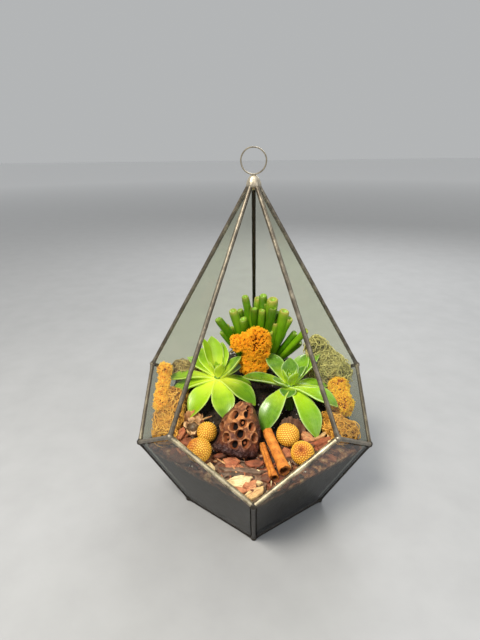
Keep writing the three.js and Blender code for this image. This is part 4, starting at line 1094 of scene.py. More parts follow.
@dataclass
class SoilBed(Maker):
    """Moist dark soil with crumbs, fibres and perlite, close behind the glass."""

    rows: int = 170
    columns: int = 340
    lining: float = 1.45
    crumbs: int = 2600
    stones: int = 170
    seed: int = 7

    def body(self) -> None:
        """Adds the bed: its skin is where rays from its middle meet the ground or the glass."""
        middle = np.array([0.0, 6.0, 42.0])
        way = ball(self.rows, self.columns, 0.01).reshape(-1, 3)
        beyond = 400.0  # farther than any face
        far = np.full(len(way), beyond)
        for face in [self.shape.floor, *self.shape.slants]:
            towards = way @ face.out
            depth = (face.at - middle) @ face.out - self.lining
            hit = np.where(towards > 1e-6, depth / np.maximum(towards, 1e-6), beyond)
            far = np.minimum(far, hit)
        low, high = np.zeros(len(way)), far.copy()
        for _ in range(22):
            mid = (low + high) / 2
            at = middle + way * mid[:, None]
            under = at[:, 2] < self.shape.soil_height(at[:, 0], at[:, 1])
            low, high = np.where(under, mid, low), np.where(under, high, mid)
        at = middle + way * low[:, None]
        on_top = far - low > 0.05
        rough = 0.7 * noise(at, 4.2, 1) + 0.5 * noise(at, 1.9, 2)
        shift = np.where(on_top, rough * 0.8, -0.75 + 0.6 * rough)
        points = at + way * shift[:, None]
        self.draft.loft(points.reshape(self.rows, self.columns, 3), stone=0.0)

    def grains(self, count: int, small: float, large: float, stone: float) -> None:
        """Adds loose grains over the top of the bed.

        Args:
            count: How many there are.
            small: The smallest radius.
            large: The largest radius.
            stone: 1 for white perlite, 0 for soil.
        """
        rng = np.random.default_rng(self.seed + int(10 * stone))
        golden = (1 + sqrt(5)) / 2
        corners, faces = [], []
        for a, b in itertools.product((-1, 1), (-golden, golden)):
            corners += [(0, a, b), (a, b, 0), (b, 0, a)]
        corners = np.array(corners)
        for face in itertools.combinations(range(12), 3):
            edges = [np.linalg.norm(corners[face[k]] - corners[face[k - 1]]) for k in range(3)]
            if all(abs(edge - 2) < 0.01 for edge in edges):
                faces.append(face)
        faces = np.array(faces)
        first, second, third = (corners[faces[:, k]] for k in range(3))
        wrong = np.sum(np.cross(second - first, third - first) * first, axis=1) < 0
        faces[wrong] = faces[wrong][:, ::-1]
        corners = unit(corners.astype(float))
        spots = rng.uniform(-96, 96, (count * 3, 2))
        z = self.shape.soil_height(spots[:, 0], spots[:, 1])
        at = np.column_stack([spots, z])
        room = self.lining + large
        at = at[np.all([(at - f.at) @ f.out < -room for f in self.shape.slants], axis=0)][:count]
        size = small + (large - small) * rng.random(len(at)) ** 2
        at[:, 2] += 0.35 * size
        shape = corners[None] * (1 + 0.28 * rng.uniform(-1, 1, (len(at), 12, 1)))
        shape = shape * rng.uniform(0.7, 1.25, (len(at), 1, 3)) * size[:, None, None]
        points = at[:, None] + shape
        all_faces = (faces[None] + (np.arange(len(at)) * 12)[:, None, None]).reshape(-1, 3)
        self.draft.add(points, [all_faces], stone=stone)

    def build(self) -> None:
        """Builds the soil."""
        self.body()
        self.grains(self.crumbs, 0.45, 1.5, 0.0)
        self.grains(self.stones, 0.4, 1.2, 1.0)
        fit(self.draft.make("soil_bed", 40), "soil", Slot.SOIL, PottingSoil("potting_soil").make())


# ---- rosettes ----


@dataclass(frozen=True)
class LeafPlan:
    """One spoon leaf: its direction, climb, change of climb, length and width."""

    degrees: float
    rise: float
    bend: float
    length: float
    width: float


@dataclass
class Rosette(Maker):
    """A green rosette on a short stem."""

    name: str
    centre: Array
    outer: Sequence[Six]
    look: FleshyLeaf
    leaf_length: float = 48.0
    hearts: int = 6
    stem_radius: float = 4.4
    stem_sink: float = 12.0
    stations: int = 34
    section: int = 20
    slim: float = 0.93
    seed: int = 1

    def leaf(self, root: Array, plan: LeafPlan, tone: float, seed: int) -> None:
        """Adds one fleshy leaf: grooved above, keeled below, ending in a small point.

        Args:
            root: Where it starts.
            plan: Its direction and sizes.
            tone: How dark it is, 0 to 1, partly its own colour and partly painted shade.
            seed: Which pattern of unevenness it has.
        """
        knots = [0, 0.22, 0.46, 0.68, 0.88, 1]
        flat = polar(1, plan.degrees, 0)
        side = np.array([-flat[1], flat[0], 0.0])
        path, climbs, travelled = [np.array(root, float)], [], 0.0
        for t in knots:
            climb = radians(plan.rise + plan.bend * t)
            along = flat * cos(climb) + UP * sin(climb)
            if t > 0:
                path.append(path[-1] + along * (t - travelled) * plan.length)
            climbs.append(climb)
            travelled = t
        t = 1 - (1 - np.linspace(0, 1, self.stations)) ** 1.35
        middle = spline(knots, np.array(path), t)
        climb = spline(knots, climbs, t)
        pointed = np.cos(pi / 2 * np.clip((t - 0.62) / 0.38, 0, 1)) ** 0.82
        width = spline([0, 0.22, 0.44, 0.62], [0.36, 0.54, 0.87, 1.0], np.minimum(t, 0.62))
        width = np.where(t > 0.62, pointed, width)
        width = np.maximum(width, 0.03) * self.slim * plan.width / 2
        depth = spline(knots, [0.17, 0.17, 0.16, 0.14, 0.1, 0.04], t) * plan.width
        over = np.cos(climb)[:, None] * UP - np.sin(climb)[:, None] * flat
        angle = around(self.section)
        u = np.cos(angle)
        upper = np.sin(angle) > 0
        lean = np.abs(np.sin(angle)) ** 0.8
        hollow = 0.26 * u**2  # the margins stand higher than the groove
        lift = np.where(upper, 0.22 * lean, -0.92 * lean)
        wave = 0.05 * np.sin(t * 9 + seed)[:, None] * np.abs(u)[None] ** 3 * np.sign(u)[None]
        heights = depth[:, None] * lift[None] + width[:, None] * (hollow + wave)
        rings = (
            middle[:, None]
            + width[:, None, None] * u[None, :, None] * side
            + heights[..., None] * over[:, None])
        rings += 0.12 * noise(rings, 7.0, seed)[..., None] * over[:, None]
        self.draft.loft(rings, along=t[:, None], side=u, under=np.where(upper, 0.0, lean), tone=tone)

    def build(self) -> None:
        """Builds the rosette."""
        draw = draws(self.seed)
        root = self.centre - 7 * UP
        size = self.leaf_length
        for k, (degrees, rise, bend, length, width, tone) in enumerate(self.outer):
            plan = LeafPlan(degrees, rise, bend, length * size, width * size)
            self.leaf(root, plan, tone, k)
        for k in range(self.hearts + 3):
            t = k / self.hearts if k < self.hearts else 0.8 + 0.06 * (k - self.hearts)
            plan = LeafPlan(137.5 * k + 20, 52 + 30 * t, 10, 24 - 11 * t, 11.5 - 6.5 * t)
            self.leaf(root, plan, 0.55 + 0.4 * draw(), 40 + k)
        z = np.linspace(self.ground(*self.centre[:2]) - self.stem_sink, root[2] + 3, 16)[:, None]
        radius = self.stem_radius * (0.96 + 0.05 * np.sin(z * 1.6)) * np.ones(20)
        self.draft.loft(lathe(radius, z, root[0], root[1]), along=0.9, side=0.0, under=0.0, tone=0.1)
        piece = self.draft.make(f"{self.name}_leaves")
        fit(piece, self.name, Slot.ROSETTE, self.look.make())


# Direction, climb, change of climb, length and width as shares of the leaf length, and shade, given leaf by
# leaf: partly the leaf's own colour and partly painted shade.
LEFT_LEAVES = [
    (-33, 6, -54, 1, 0.46, 0.9), (13, 8, -52, 1, 0.47, 0.6), (51, 12, -44, 1, 0.45, 0.15),
    (-70, 10, -32, 1, 0.4, 0.75), (-82, 24, -36, 1.04, 0.34, 0.5), (-108, 40, -18, 0.74, 0.38, 0.6),
    (-133, 46, -6, 0.72, 0.42, 0.7), (-116, 66, 4, 0.86, 0.3, 0.95), (-156, 66, 2, 0.84, 0.42, 0.9),
    (168, 56, 4, 0.72, 0.38, 1.0), (100, 36, 12, 0.64, 0.4, 0.3), (128, 12, 10, 0.7, 0.38, 0.0),
    (85, 2, -20, 0.68, 0.38, 0.1)]
RIGHT_LEAVES = [
    (-38, 4, -66, 1.06, 0.46, 0.35), (29, 2, -58, 1.12, 0.46, 0.75), (57, 18, -40, 1, 0.44, 0.85),
    (-101, 22, -26, 0.92, 0.38, 0.2), (-146, 34, -10, 0.86, 0.38, 0.3), (134, 50, -4, 0.7, 0.4, 0.55),
    (112, 46, -4, 0.84, 0.34, 0.6), (96, 52, 4, 0.5, 0.3, 0.1), (178, 62, 10, 0.54, 0.36, 0.15),
    (-72, 26, 8, 0.4, 0.32, 0.3), (92, 14, -24, 0.72, 0.38, 0.9), (-14, 14, -40, 0.34, 0.34, -0.1)]


# ---- finger-leaved jade ----


FINGER_TIPS = [
    (-33.3, 43, 153, 0.9), (-27, 50, 144, 0.8), (-19.6, 47, 160, 1.15), (-8.2, 46, 174, 1),
    (-10.2, 46, 152, 1.1), (-4.6, 48, 163, 0.7), (0.4, 44, 163, 0.8), (7.6, 42, 162, 0.8),
    (10.6, 46, 168, 0.8), (3.8, 51, 171, 1), (10.2, 50, 176, 1.1), (19.4, 44, 175, 1.35),
    (17.6, 38, 166, 0.9), (29, 42, 163, 1.15), (35, 46, 156, 1), (44, 50, 128, 1.1), (49, 40, 144, 0.85),
    (-14, 56, 158, 0.9), (24, 54, 160, 0.9), (6, 62, 158, 0.9), (-24, 62, 138, 0.9), (32, 62, 138, 0.9)]


@dataclass
class FingerJade(Maker):
    """A clump of round finger leaves on a short trunk."""

    foot: Trio = (5.0, 64.0, 97.75)
    finger_radius: float = 3.5
    trunk_radius: float = 6.0
    stem_sink: float = 12.0
    extra: int = 18  # shorter fingers between the tall ones
    fullness: float = 1.14
    seed: int = 31

    def finger(self, foot: Array, tip: Array, radius: float, tone: float, seed: int) -> None:
        """Adds one finger: widest near its end, which is a shallow dish.

        Args:
            foot: Where it starts.
            tip: Where it ends.
            radius: Its greatest radius.
            tone: Its own shade, 0 to 1.
            seed: Which way it bows.
        """
        run = tip - foot
        length = np.linalg.norm(run)
        along = run / length
        first, second = across(along, SIDEWAYS)
        knots = [0, 0.4, 0.75, 0.93, 0.985, 1.0, 0.99, 0.965]
        sizes = [0.84, 0.92, 0.98, 1.0, 0.92, 0.74, 0.48, 0.12]
        rims = [0, 0, 0, 0.15, 0.8, 1.0, 0.35, 0]
        dishes = [0, 0, 0, 0, 0, 0.2, 1, 1]
        steps = np.linspace(0, 1, 26)
        order = np.linspace(0, 1, len(knots))
        t = np.interp(steps, order, knots)
        size = spline(order, sizes, steps) * radius
        angle = around(16)
        bow = 0.05 * length * np.sin(pi * np.clip(t, 0, 1))
        lean = cos(seed * 2.4) * first + sin(seed * 2.4) * second
        middle = foot + run * t[:, None] + bow[:, None] * lean * 0.5
        flat = 1 + 0.1 * np.cos(2 * angle + seed)
        rings = middle[:, None] + size[:, None, None] * flat[None, :, None] * spokes(angle, first, second)
        rings += 0.15 * noise(rings, 6.0, seed)[..., None] * lean
        rim, dish = (np.interp(steps, order, marks)[:, None] for marks in (rims, dishes))
        self.draft.loft(rings, along=np.clip(t, 0, 1)[:, None], rim=rim, dish=dish, tone=tone)

    def build(self) -> None:
        """Builds the clump."""
        draw = draws(self.seed)
        foot = np.array(self.foot)
        tips = [(np.array([x, y, z + self.shape.base_z]), k) for x, y, z, k in FINGER_TIPS]
        for _ in range(self.extra):
            k = int(draw() * len(FINGER_TIPS))
            x, y, z, width = FINGER_TIPS[k]
            spot = np.array([x + 9 * (draw() - 0.5), y + 6 * draw(), z - 12 - 14 * draw()])
            tips.append((spot, 0.8 * width))
        for k, (tip, width) in enumerate(tips):
            radius = self.fullness * self.finger_radius * width
            end = self.shape.keep_inside(tip, np.full(3, radius))
            start = foot + (end - foot) * np.array([0.32, 0.2, 0.0]) + 2 * UP
            self.finger(start, end, radius, draw(), k)
        self.crown(foot)
        look = FingerLeaf("finger_green").make()
        fit(self.draft.make("jade_fingers"), "finger_jade", Slot.FINGER, look)

    def crown(self, foot: Array) -> None:
        """Adds the branched crown that the fingers leave, and the trunk below it."""
        way = ball(18, 28, 0.05)
        knobs = 1 + 0.12 * noise(way * 3, 1.0, 3)
        crown = foot + 3 * UP + way * knobs[..., None] * np.array([16, 8, 6])
        self.draft.loft(crown, along=0.2, rim=0.0, dish=0.0, tone=0.1)
        z = np.linspace(self.ground(*foot[:2]) - self.stem_sink, foot[2], 12)[:, None]
        radius = self.trunk_radius * (0.97 + 0.03 * np.sin(z)) * np.ones(20)
        self.draft.loft(lathe(radius, z, foot[0], foot[1]), along=0.0, rim=0.0, dish=0.0, tone=0.0)


# ---- lichen and moss ----


@dataclass
class Mound(Maker):
    """A mound of lobes inside the case; a lobe is its middle and its half-widths."""

    name: str
    lobes: Sequence[Six]
    look: DryTufts
    slot: Slot
    seed: int

    def placed(self, extra: float = 0.0) -> list[tuple[Array, Array]]:
        """The lobes' middles and half-widths as they stand in the case."""
        own = []
        for lobe in self.lobes:
            middle, size = np.array(lobe[:3]) + self.shape.base_z * UP, np.array(lobe[3:], float)
            own.append((self.shape.keep_inside(middle, size + extra), size))
        between = [((a + b) / 2, 0.92 * (p + q) / 2) for (a, p), (b, q) in zip(own, own[1:])]
        return [*own, *between]

    def core(self, share: Callable[[Array], Array]) -> None:
        """Adds a rough lump inside each lobe, and one between each two neighbours.

        Args:
            share: Gives a lump's half-widths from its lobe's.
        """
        way = ball(26, 44, 0.03)
        for k, (middle, size) in enumerate(self.placed()):
            lump = middle + way * share(size)
            lump = lump + way * (0.9 * noise(lump, 2.6, self.seed + k))[..., None]
            lump = self.shape.over_soil(self.shape.tuck(lump, 1.5), -1.5)
            # At out=0 the lump takes the painted shade colour of the depths.
            self.draft.loft(lump, out=0.0, tone=0.3)

    def lay(self, kind: str) -> None:
        """Makes the piece, which stands for the node of its own name."""
        fit(self.draft.make(f"{self.name}_{kind}"), self.name, self.slot, self.look.make())


@dataclass
class Lichen(Mound):
    """Reindeer lichen: a crowd of short forked twigs with blunt tips."""

    spacing: float = 1.62  # millimetres from twig to twig
    reach: float = 3.4
    twig_radius: float = 0.4

    def lobe_twigs(self, middle: Array, size: Array, rng: np.random.Generator) -> None:
        """Adds the forked twigs of one lobe.

        Args:
            middle: The lobe's middle.
            size: Its half-widths.
            rng: The source of random numbers.
        """
        area = 4 * pi * ((np.prod(size) ** (1 / 3)) ** 2)
        way = spread(int(area / self.spacing**2))
        way = unit(way + 0.1 * rng.standard_normal(way.shape))
        outer = middle + way * size
        uneven = 1.9 * noise(outer, 7.0, self.seed) + 1.1 * noise(outer, 3.0, self.seed + 1)
        uneven += 0.5 * rng.standard_normal(len(way))
        foot = middle + way * np.maximum(size - self.reach - 1.2, 1.0)
        tip = self.shape.tuck(outer + unit(way / size) * (uneven - 0.9)[:, None], 1.6)
        level = self.shape.soil_height(tip[:, 0], tip[:, 1])
        seen = tip[:, 2] > level - 0.5
        foot, tip, way = foot[seen], tip[seen], way[seen]
        ones = np.ones((len(foot), 1))
        hint = np.cross(way, rng.standard_normal(way.shape))
        fork = foot + (tip - foot) * 0.6
        t = np.linspace(0, 1, 3)
        stem = foot[:, None] * (1 - t)[None, :, None] + fork[:, None] * t[None, :, None]
        tone = rng.random(len(foot))[:, None] * np.ones(3)
        radii = self.twig_radius * np.array([1.3, 1.1, 1.0])[None] * ones
        # The stems take more of the painted shade than the forks above them.
        self.draft.tubes(stem, radii, 4, hint, out=(0.05 + 0.4 * t)[None] * ones, tone=tone)
        first, second = across(way, hint)
        for k in range(4):
            a = 1.6 * k + rng.random(len(foot)) * 1.4
            aside = spokes(a, first, second)
            far = rng.uniform(0.5, 1.35, (len(foot), 1))
            rise = rng.uniform(-0.9, 0.6, (len(foot), 1))
            end = self.shape.tuck(tip + aside * far + way * rise, 1.3)
            bend = fork + (end - fork) * 0.55 + aside * 0.3
            path = np.stack([fork, bend, end], axis=1)
            blunt = self.twig_radius * np.array([0.85, 1.05, 0.7])[None] * ones
            self.draft.tubes(path, blunt, 4, hint, out=(0.45 + 0.55 * t)[None] * ones, tone=tone)

    def build(self) -> None:
        """Builds the lichen."""
        self.core(lambda size: np.maximum(size - self.reach, 1.5))
        rng = np.random.default_rng(self.seed)
        for middle, size in self.placed():
            self.lobe_twigs(middle, size, rng)
        self.lay("twigs")


@dataclass
class StrandMoss(Mound):
    """Dried moss: hundreds of thin curling strands over a rough mound."""

    strands: float = 0.25  # strands for each square millimetre of a lobe
    strand_radius: float = 0.33
    curl: float = 1.7
    loose: float = 1.4  # how far the strands stray from the mound

    def build(self) -> None:
        """Builds the moss."""
        self.core(lambda size: size * 0.84)
        rng = np.random.default_rng(self.seed)
        stations = 11
        for middle, size in self.placed(1.15):
            mean = np.prod(size) ** (1 / 3)
            count = int(4 * pi * mean**2 * self.strands)
            start = spread(count)
            start = unit(start + 0.1 * rng.standard_normal(start.shape))
            run, aside = across(start, rng.standard_normal(start.shape))
            arc = rng.uniform(6, 15, count) / mean
            swing = self.curl * rng.uniform(-0.55, 0.55, count)
            lift = rng.uniform(-0.6, 1.0, count) ** 3 * 2.2 * self.loose + 0.4
            t = np.linspace(-0.5, 0.5, stations)
            bow = np.cos(pi * t)
            wiggle = 0.05 * self.curl * np.sin(t[None] * rng.uniform(9, 20, count)[:, None])
            turn = arc[:, None] * t[None]
            bent = swing[:, None] * (t[None] * 2) ** 2 * arc[:, None] + wiggle
            way = unit(
                start[:, None]
                + run[:, None] * np.tan(turn)[..., None]
                + aside[:, None] * bent[..., None])
            over = 0.2 + lift[:, None] * bow[None] + 0.6 * rng.standard_normal((count, 1))
            over = over + (1.6 * noise(middle + start * size, 7.0, self.seed + 5))[:, None]
            path = middle + way * size + unit(way / size) * over[..., None]
            path = path + 0.5 * noise(path, 3.0, self.seed)[..., None] * aside[:, None]
            path = self.shape.tuck(path, 1.35)
            level = self.shape.soil_height(path[..., 0], path[..., 1])
            seen = np.all(path[..., 2] > level - 1.0, axis=1)
            path = path[seen]
            kept = int(seen.sum())
            taper = self.strand_radius * (0.45 + 0.65 * bow)
            radii = taper[None] * rng.uniform(0.7, 1.35, kept)[:, None]
            # Strands that stand further out take less of the painted shade.
            out = np.clip(0.5 + 0.22 * over[seen], 0.1, 1.0)
            tone = rng.random(kept)[:, None] * np.ones(stations)
            hint = np.cross(start[seen], run[seen]) + 0.01
            self.draft.tubes(path, radii, 4, hint, out=out, tone=tone)
        self.lay("strands")


# ---- dried pod ----


@dataclass
class Pod(Maker):
    """A bell-shaped dried seed head that leans back, with pits over its dome."""

    radius: float = 17.6
    foot_spot: Pair = (-15.0, -37.0)
    top_spot: Pair = (-6.5, -16.0)
    sunk: float = 2.6
    height: float = 37.5
    rows: int = 190
    columns: int = 280
    pit_scale: float = 1.34
    profile: Sequence[Pair] = (
        (0, 0.66), (0.05, 0.92), (0.13, 1.02), (0.3, 1), (0.46, 0.95), (0.63, 0.82), (0.8, 0.62),
        (0.93, 0.42), (1, 0.26))
    pits: Sequence[Trio] = (
        (0.94, -140, 1.7), (0.89, -63, 1.8), (0.73, -123, 2.4), (0.79, -72, 2.2), (0.5, -148, 2.5),
        (0.54, -110, 2.3), (0.63, -86, 2.4), (0.59, -54, 2.3), (0.43, -87, 2.7), (0.32, -124, 2.4),
        (0.41, -42, 2.5), (0.23, -98, 2.5), (0.29, -68, 2.5), (0.6, 60, 2.3), (0.5, -8, 2.2))
    seeded: Sequence[float] = (-86, -68, -63, -124)  # angles of the pits that hold a seed

    def build(self) -> None:
        """Builds the pod."""
        foot = np.array([*self.foot_spot, self.ground(*self.foot_spot) - self.sunk])
        top = np.array([*self.top_spot, foot[2] + self.height])
        axis = top - foot
        first, second = across(unit(axis), SIDEWAYS)
        knots = [k for k, _ in self.profile]
        sizes = [r for _, r in self.profile]
        t = np.linspace(0, 1, self.rows)[:, None]
        a = around(self.columns)[None]
        low = smooth((0.3 - t) / 0.3)
        free = 1 - 0.85 * smooth(np.cos(a) / 0.7)  # nothing swells towards the bark beside it
        folds = np.sin(21 * a + 3 * np.sin(2 * a))
        wrinkle = 0.045 * low * np.sin(9 * a) + 0.055 * smooth((0.22 - t) / 0.12) * folds * free
        flare = 0.11 * free * np.exp(-(((t - 0.07) / 0.06) ** 2)) + 0.03 * np.sin(3 * a + 1) * (1 - t)
        belt = spline(knots, sizes, t[:, 0])[:, None]
        shoulder = 0.17 * np.exp(-(((t - 0.6) / 0.17) ** 2)) * np.maximum(0, -np.cos(a - 0.3)) ** 3
        r = self.radius * (belt + wrinkle + flare + shoulder)
        out = spokes(a, first, second)
        surface = foot + t[..., None] * axis + r[..., None] * out
        grain = 0.8 * noise(surface, 6.5, 7) + 0.5 * noise(surface, 3.0, 8) + 0.28 * noise(surface, 1.2, 9)
        knobs = 2.6 * low * np.abs(noise(surface, 3.2, 11)) + 1.2 * low * noise(surface, 1.4, 12)
        knobs = knobs * free
        push, pit, ridge = grain + knobs, np.zeros_like(r), np.zeros_like(r)
        for level, degrees, size in self.pits:
            angle = radians(degrees)
            reach = self.radius * float(np.interp(level, knots, sizes))
            mouth = foot + level * axis + reach * (cos(angle) * first + sin(angle) * second)
            inward = unit(foot + level * axis - mouth)
            away = surface - mouth
            depth = dot(away, inward)
            apart = np.linalg.norm(away - depth * inward, axis=-1)
            near = np.linalg.norm(away, axis=-1) < 3 * size
            wide = self.pit_scale * size
            uneven = wide * (1 + 0.16 * noise(surface, 3.2, int(size * 10)))
            hole = np.where(near, smooth((uneven + 0.35 - apart) / 0.9), 0.0)
            lip = np.where(near, np.exp(-(((apart - uneven - 0.7) / 0.7) ** 2)), 0.0)
            seed = np.where(near, smooth((0.5 * wide - apart) / 0.6), 0.0)
            seed = seed * (degrees in self.seeded)
            push = push * (1 - hole) - 4.6 * hole + 0.6 * lip * (1 - hole) + 2.4 * seed
            pit = np.maximum(pit, hole * (1 - 0.5 * seed))
            ridge = np.maximum(ridge, lip * (1 - hole))
        surface = surface + push[..., None] * out
        surface = self.shape.over_soil(surface, 0.2)
        # The pit rims and the top take a paler tan, partly their own colour and partly painted highlight.
        ridge = np.maximum(ridge * smooth((t - 0.12) / 0.2), 0.5 * smooth((t - 0.9) / 0.1) + 0 * a)
        aside = np.abs((np.degrees(a) + 95 + 180) % 360 - 180)  # away from the pitted face
        # Painted shade on the flanks turned away from the pitted face; the foot is darker too.
        shaded_flank = smooth((aside - 58) / 16) * smooth((0.8 - t) / 0.2)
        dark = np.maximum(smooth((0.24 - t) / 0.12), shaded_flank)
        # Painted highlight: gold on the middle of the pitted face.
        worn = np.exp(-(((t - 0.7) / 0.2) ** 2) - (aside / 42) ** 2)
        self.draft.loft(surface, pit=pit, ridge=ridge, skirt=dark, worn=worn)
        fit(self.draft.make("pod_shell"), "dried_pod", Slot.POD, DriedPod("dried_pod_brown").make())


# ---- scaly fruits ----


@dataclass(frozen=True)
class FruitPlan:
    """Where a fruit lies, its radius, its dimple, and the side that has an amber blush."""

    x: float
    y: float
    radius: float
    dimple: Trio
    depth: float
    blush_way: Trio
    blush: float


@dataclass
class Fruits:
    """Four round fruits under rows of overlapping scales."""

    shape: CaseShape
    plans: Sequence[FruitPlan] = (
        FruitPlan(-39.5, -25.5, 8.5, (-0.4, -0.5, 0.8), 0.25, (0.6, 0.5, 0.2), 0.3),
        FruitPlan(-43.6, -48.5, 9.888, (0.2, -1.0, 0.2), 0.35, (-0.75, -0.1, 0.7), 0.75),
        FruitPlan(28.3, -29.5, 9.6, (0.3, 0.4, 1.0), 1.5, (0.0, 0.0, -1.0), 0.3),
        FruitPlan(38.9, -48.5, 9.312, (-0.25, -0.55, 0.8), 1.9, (-0.25, -0.55, 0.8), 0.6))
    scale_width: float = 1.92

    def centre(self, plan: FruitPlan) -> Array:
        """The middle of a fruit, which lies on the soil."""
        level = float(self.shape.soil_height(plan.x, plan.y))
        return np.array([plan.x, plan.y, level + 1.05 * plan.radius + 2 * self.shape.gap])

    def fruit(self, plan: FruitPlan, number: int, look: Material) -> None:
        """Builds one fruit: its scales stand on a spiral, and each swells between its borders.

        Args:
            plan: Where and how it lies.
            number: Its number, which names it.
            look: Its material.
        """
        centre = self.centre(plan)
        axis = unit(np.array(plan.dimple, float))
        hint = UP if abs(axis[2]) < 0.9 else SIDEWAYS
        first, second = across(axis, hint)
        rows, columns, tip_gap = 130, 250, 0.02
        way = ball(rows, columns, tip_gap, 1.0)
        count = int(4 * pi * plan.radius**2 / self.scale_width**2)
        spots = spread(count)
        near = np.arccos(np.clip(way.reshape(-1, 3) @ spots.T, -1, 1))
        own = np.argmin(near, axis=1)
        two = np.partition(near, 1, axis=1)[:, :2] * plan.radius
        margin = ((two[:, 1] - two[:, 0]) / self.scale_width).reshape(rows, columns)
        pillow = np.clip(margin / 0.85, 0, 1)
        below = (spots[own, 2].reshape(rows, columns) - way[..., 2]) * plan.radius
        tip = smooth(0.5 + below / self.scale_width)
        height = 0.6 * np.sqrt(pillow) + 0.25 * tip * pillow
        theta = np.linspace(tip_gap, pi - tip_gap, rows)[:, None]
        dent = plan.depth * np.exp(-((theta / 0.24) ** 2)) * np.ones(columns)
        squash = 1 + 0.025 * noise(way * 4, 3.0, number)
        turned = way[..., :1] * first + way[..., 1:2] * second + way[..., 2:] * axis
        points = centre + turned * ((plan.radius * 0.97 + height - dent - 0.3) * squash)[..., None]
        facing = turned @ unit(np.array(plan.blush_way, float))
        draft = Draft()
        # groove and crest carry the amber gaps and pale tips: partly painted shade and partly painted
        # highlight.
        draft.loft(
            points[::-1], groove=(1 - pillow)[::-1], crest=(pillow * (0.4 + 0.6 * tip))[::-1],
            blush=(plan.blush * smooth((facing - 0.5) / 0.45))[::-1],
            dimple=(np.clip(dent / 1.9, 0, 1) * 0.95)[::-1])
        fit(draft.make(f"fruit_{number}_scales"), f"scaly_fruit_{number}", Slot.FRUIT, look)

    def build(self) -> None:
        """Builds the four fruits."""
        look = FruitScales("golden_scales").make()
        for k, plan in enumerate(self.plans):
            self.fruit(plan, k + 1, look)


# ---- bark quills ----


@dataclass
class Quill:
    """A thin sheet of bark rolled into a scroll."""

    node: str
    start: Trio
    end: Trio
    radius: float
    sheet: float
    turns: float
    start_angle: float
    curl: float  # how far it opens towards its near end
    rest: float  # how far the chips stay from its middle line

    def line(self, t: float) -> Array:
        """A point of its middle line, from 0 at its start to 1 at its end."""
        return np.array(self.start) * (1 - t) + np.array(self.end) * t

    def build(self, look: Material) -> None:
        """Builds the quill.

        Args:
            look: Its material.
        """
        a, b = np.array(self.start), np.array(self.end)
        run = b - a
        length = np.linalg.norm(run)
        along = run / length
        # The turn that takes +Z to the quill's direction, as the solid was laid.
        turn = Vector((0, 0, 1)).rotation_difference(Vector(along)).to_matrix()
        first, second = np.array(turn.col[0]), np.array(turn.col[1])
        steps, rows = int(self.turns * 44), 60
        pitch = self.sheet + 0.25
        k = np.linspace(0, 1, steps)
        angle = self.start_angle + k * self.turns * 2 * pi
        outer = self.radius - pitch * k * self.turns
        loop_angle = np.concatenate([angle, angle[::-1]])
        loop_radius = np.concatenate([outer, outer[::-1] - self.sheet])
        inner = np.concatenate([np.clip(k * self.turns - 0.9, 0, 1) * 3, np.ones(steps)])
        t = np.linspace(0, 1, rows)[:, None]
        flare = 1 + self.curl * smooth((t - 0.72) / 0.28) + 0.02 * np.sin(9 * t)
        radius = loop_radius[None] * flare
        way = spokes(loop_angle, first, second)
        ragged = 0.9 * noise(way * 2.2, 0.8, 12)
        ends = (np.exp(-((t / 0.05) ** 2)) - np.exp(-(((1 - t) / 0.05) ** 2))) * ragged[None]
        points = a + (t * run)[:, None] + radius[..., None] * way[None] + ends[..., None] * along
        bow = 0.02 * length * np.sin(pi * t)
        points = points + bow[..., None] * np.array([0.0, 0.0, 0.3])
        rolled = loop_angle[:, None] * 2.2 * SIDEWAYS
        stripes = noise(rolled[None] + t[..., None] * 3, 1.0, 3)
        points += (0.16 * stripes + 0.14 * noise(points, 2.0, 6))[..., None] * way[None]
        draft = Draft()
        draft.loft(points, turn=loop_angle, along=t, inner=np.clip(inner, 0, 1))
        fit(draft.make(f"{self.node}_scroll", 45), self.node, Slot.QUILL, look)


QUILLS = (
    Quill("bark_quill_thick", (11.3, -25, 79.25), (23.5, -67.5, 74.25), 4.4, 0.75, 1.35, 0.4, 0.18, 5.2),
    Quill("bark_quill_thin", (7.2, -33.5, 72.75), (15.6, -70, 69.35), 3.1, 0.6, 1.4, 2.4, 0.42, 3.4))


# ---- nut in its husk ----


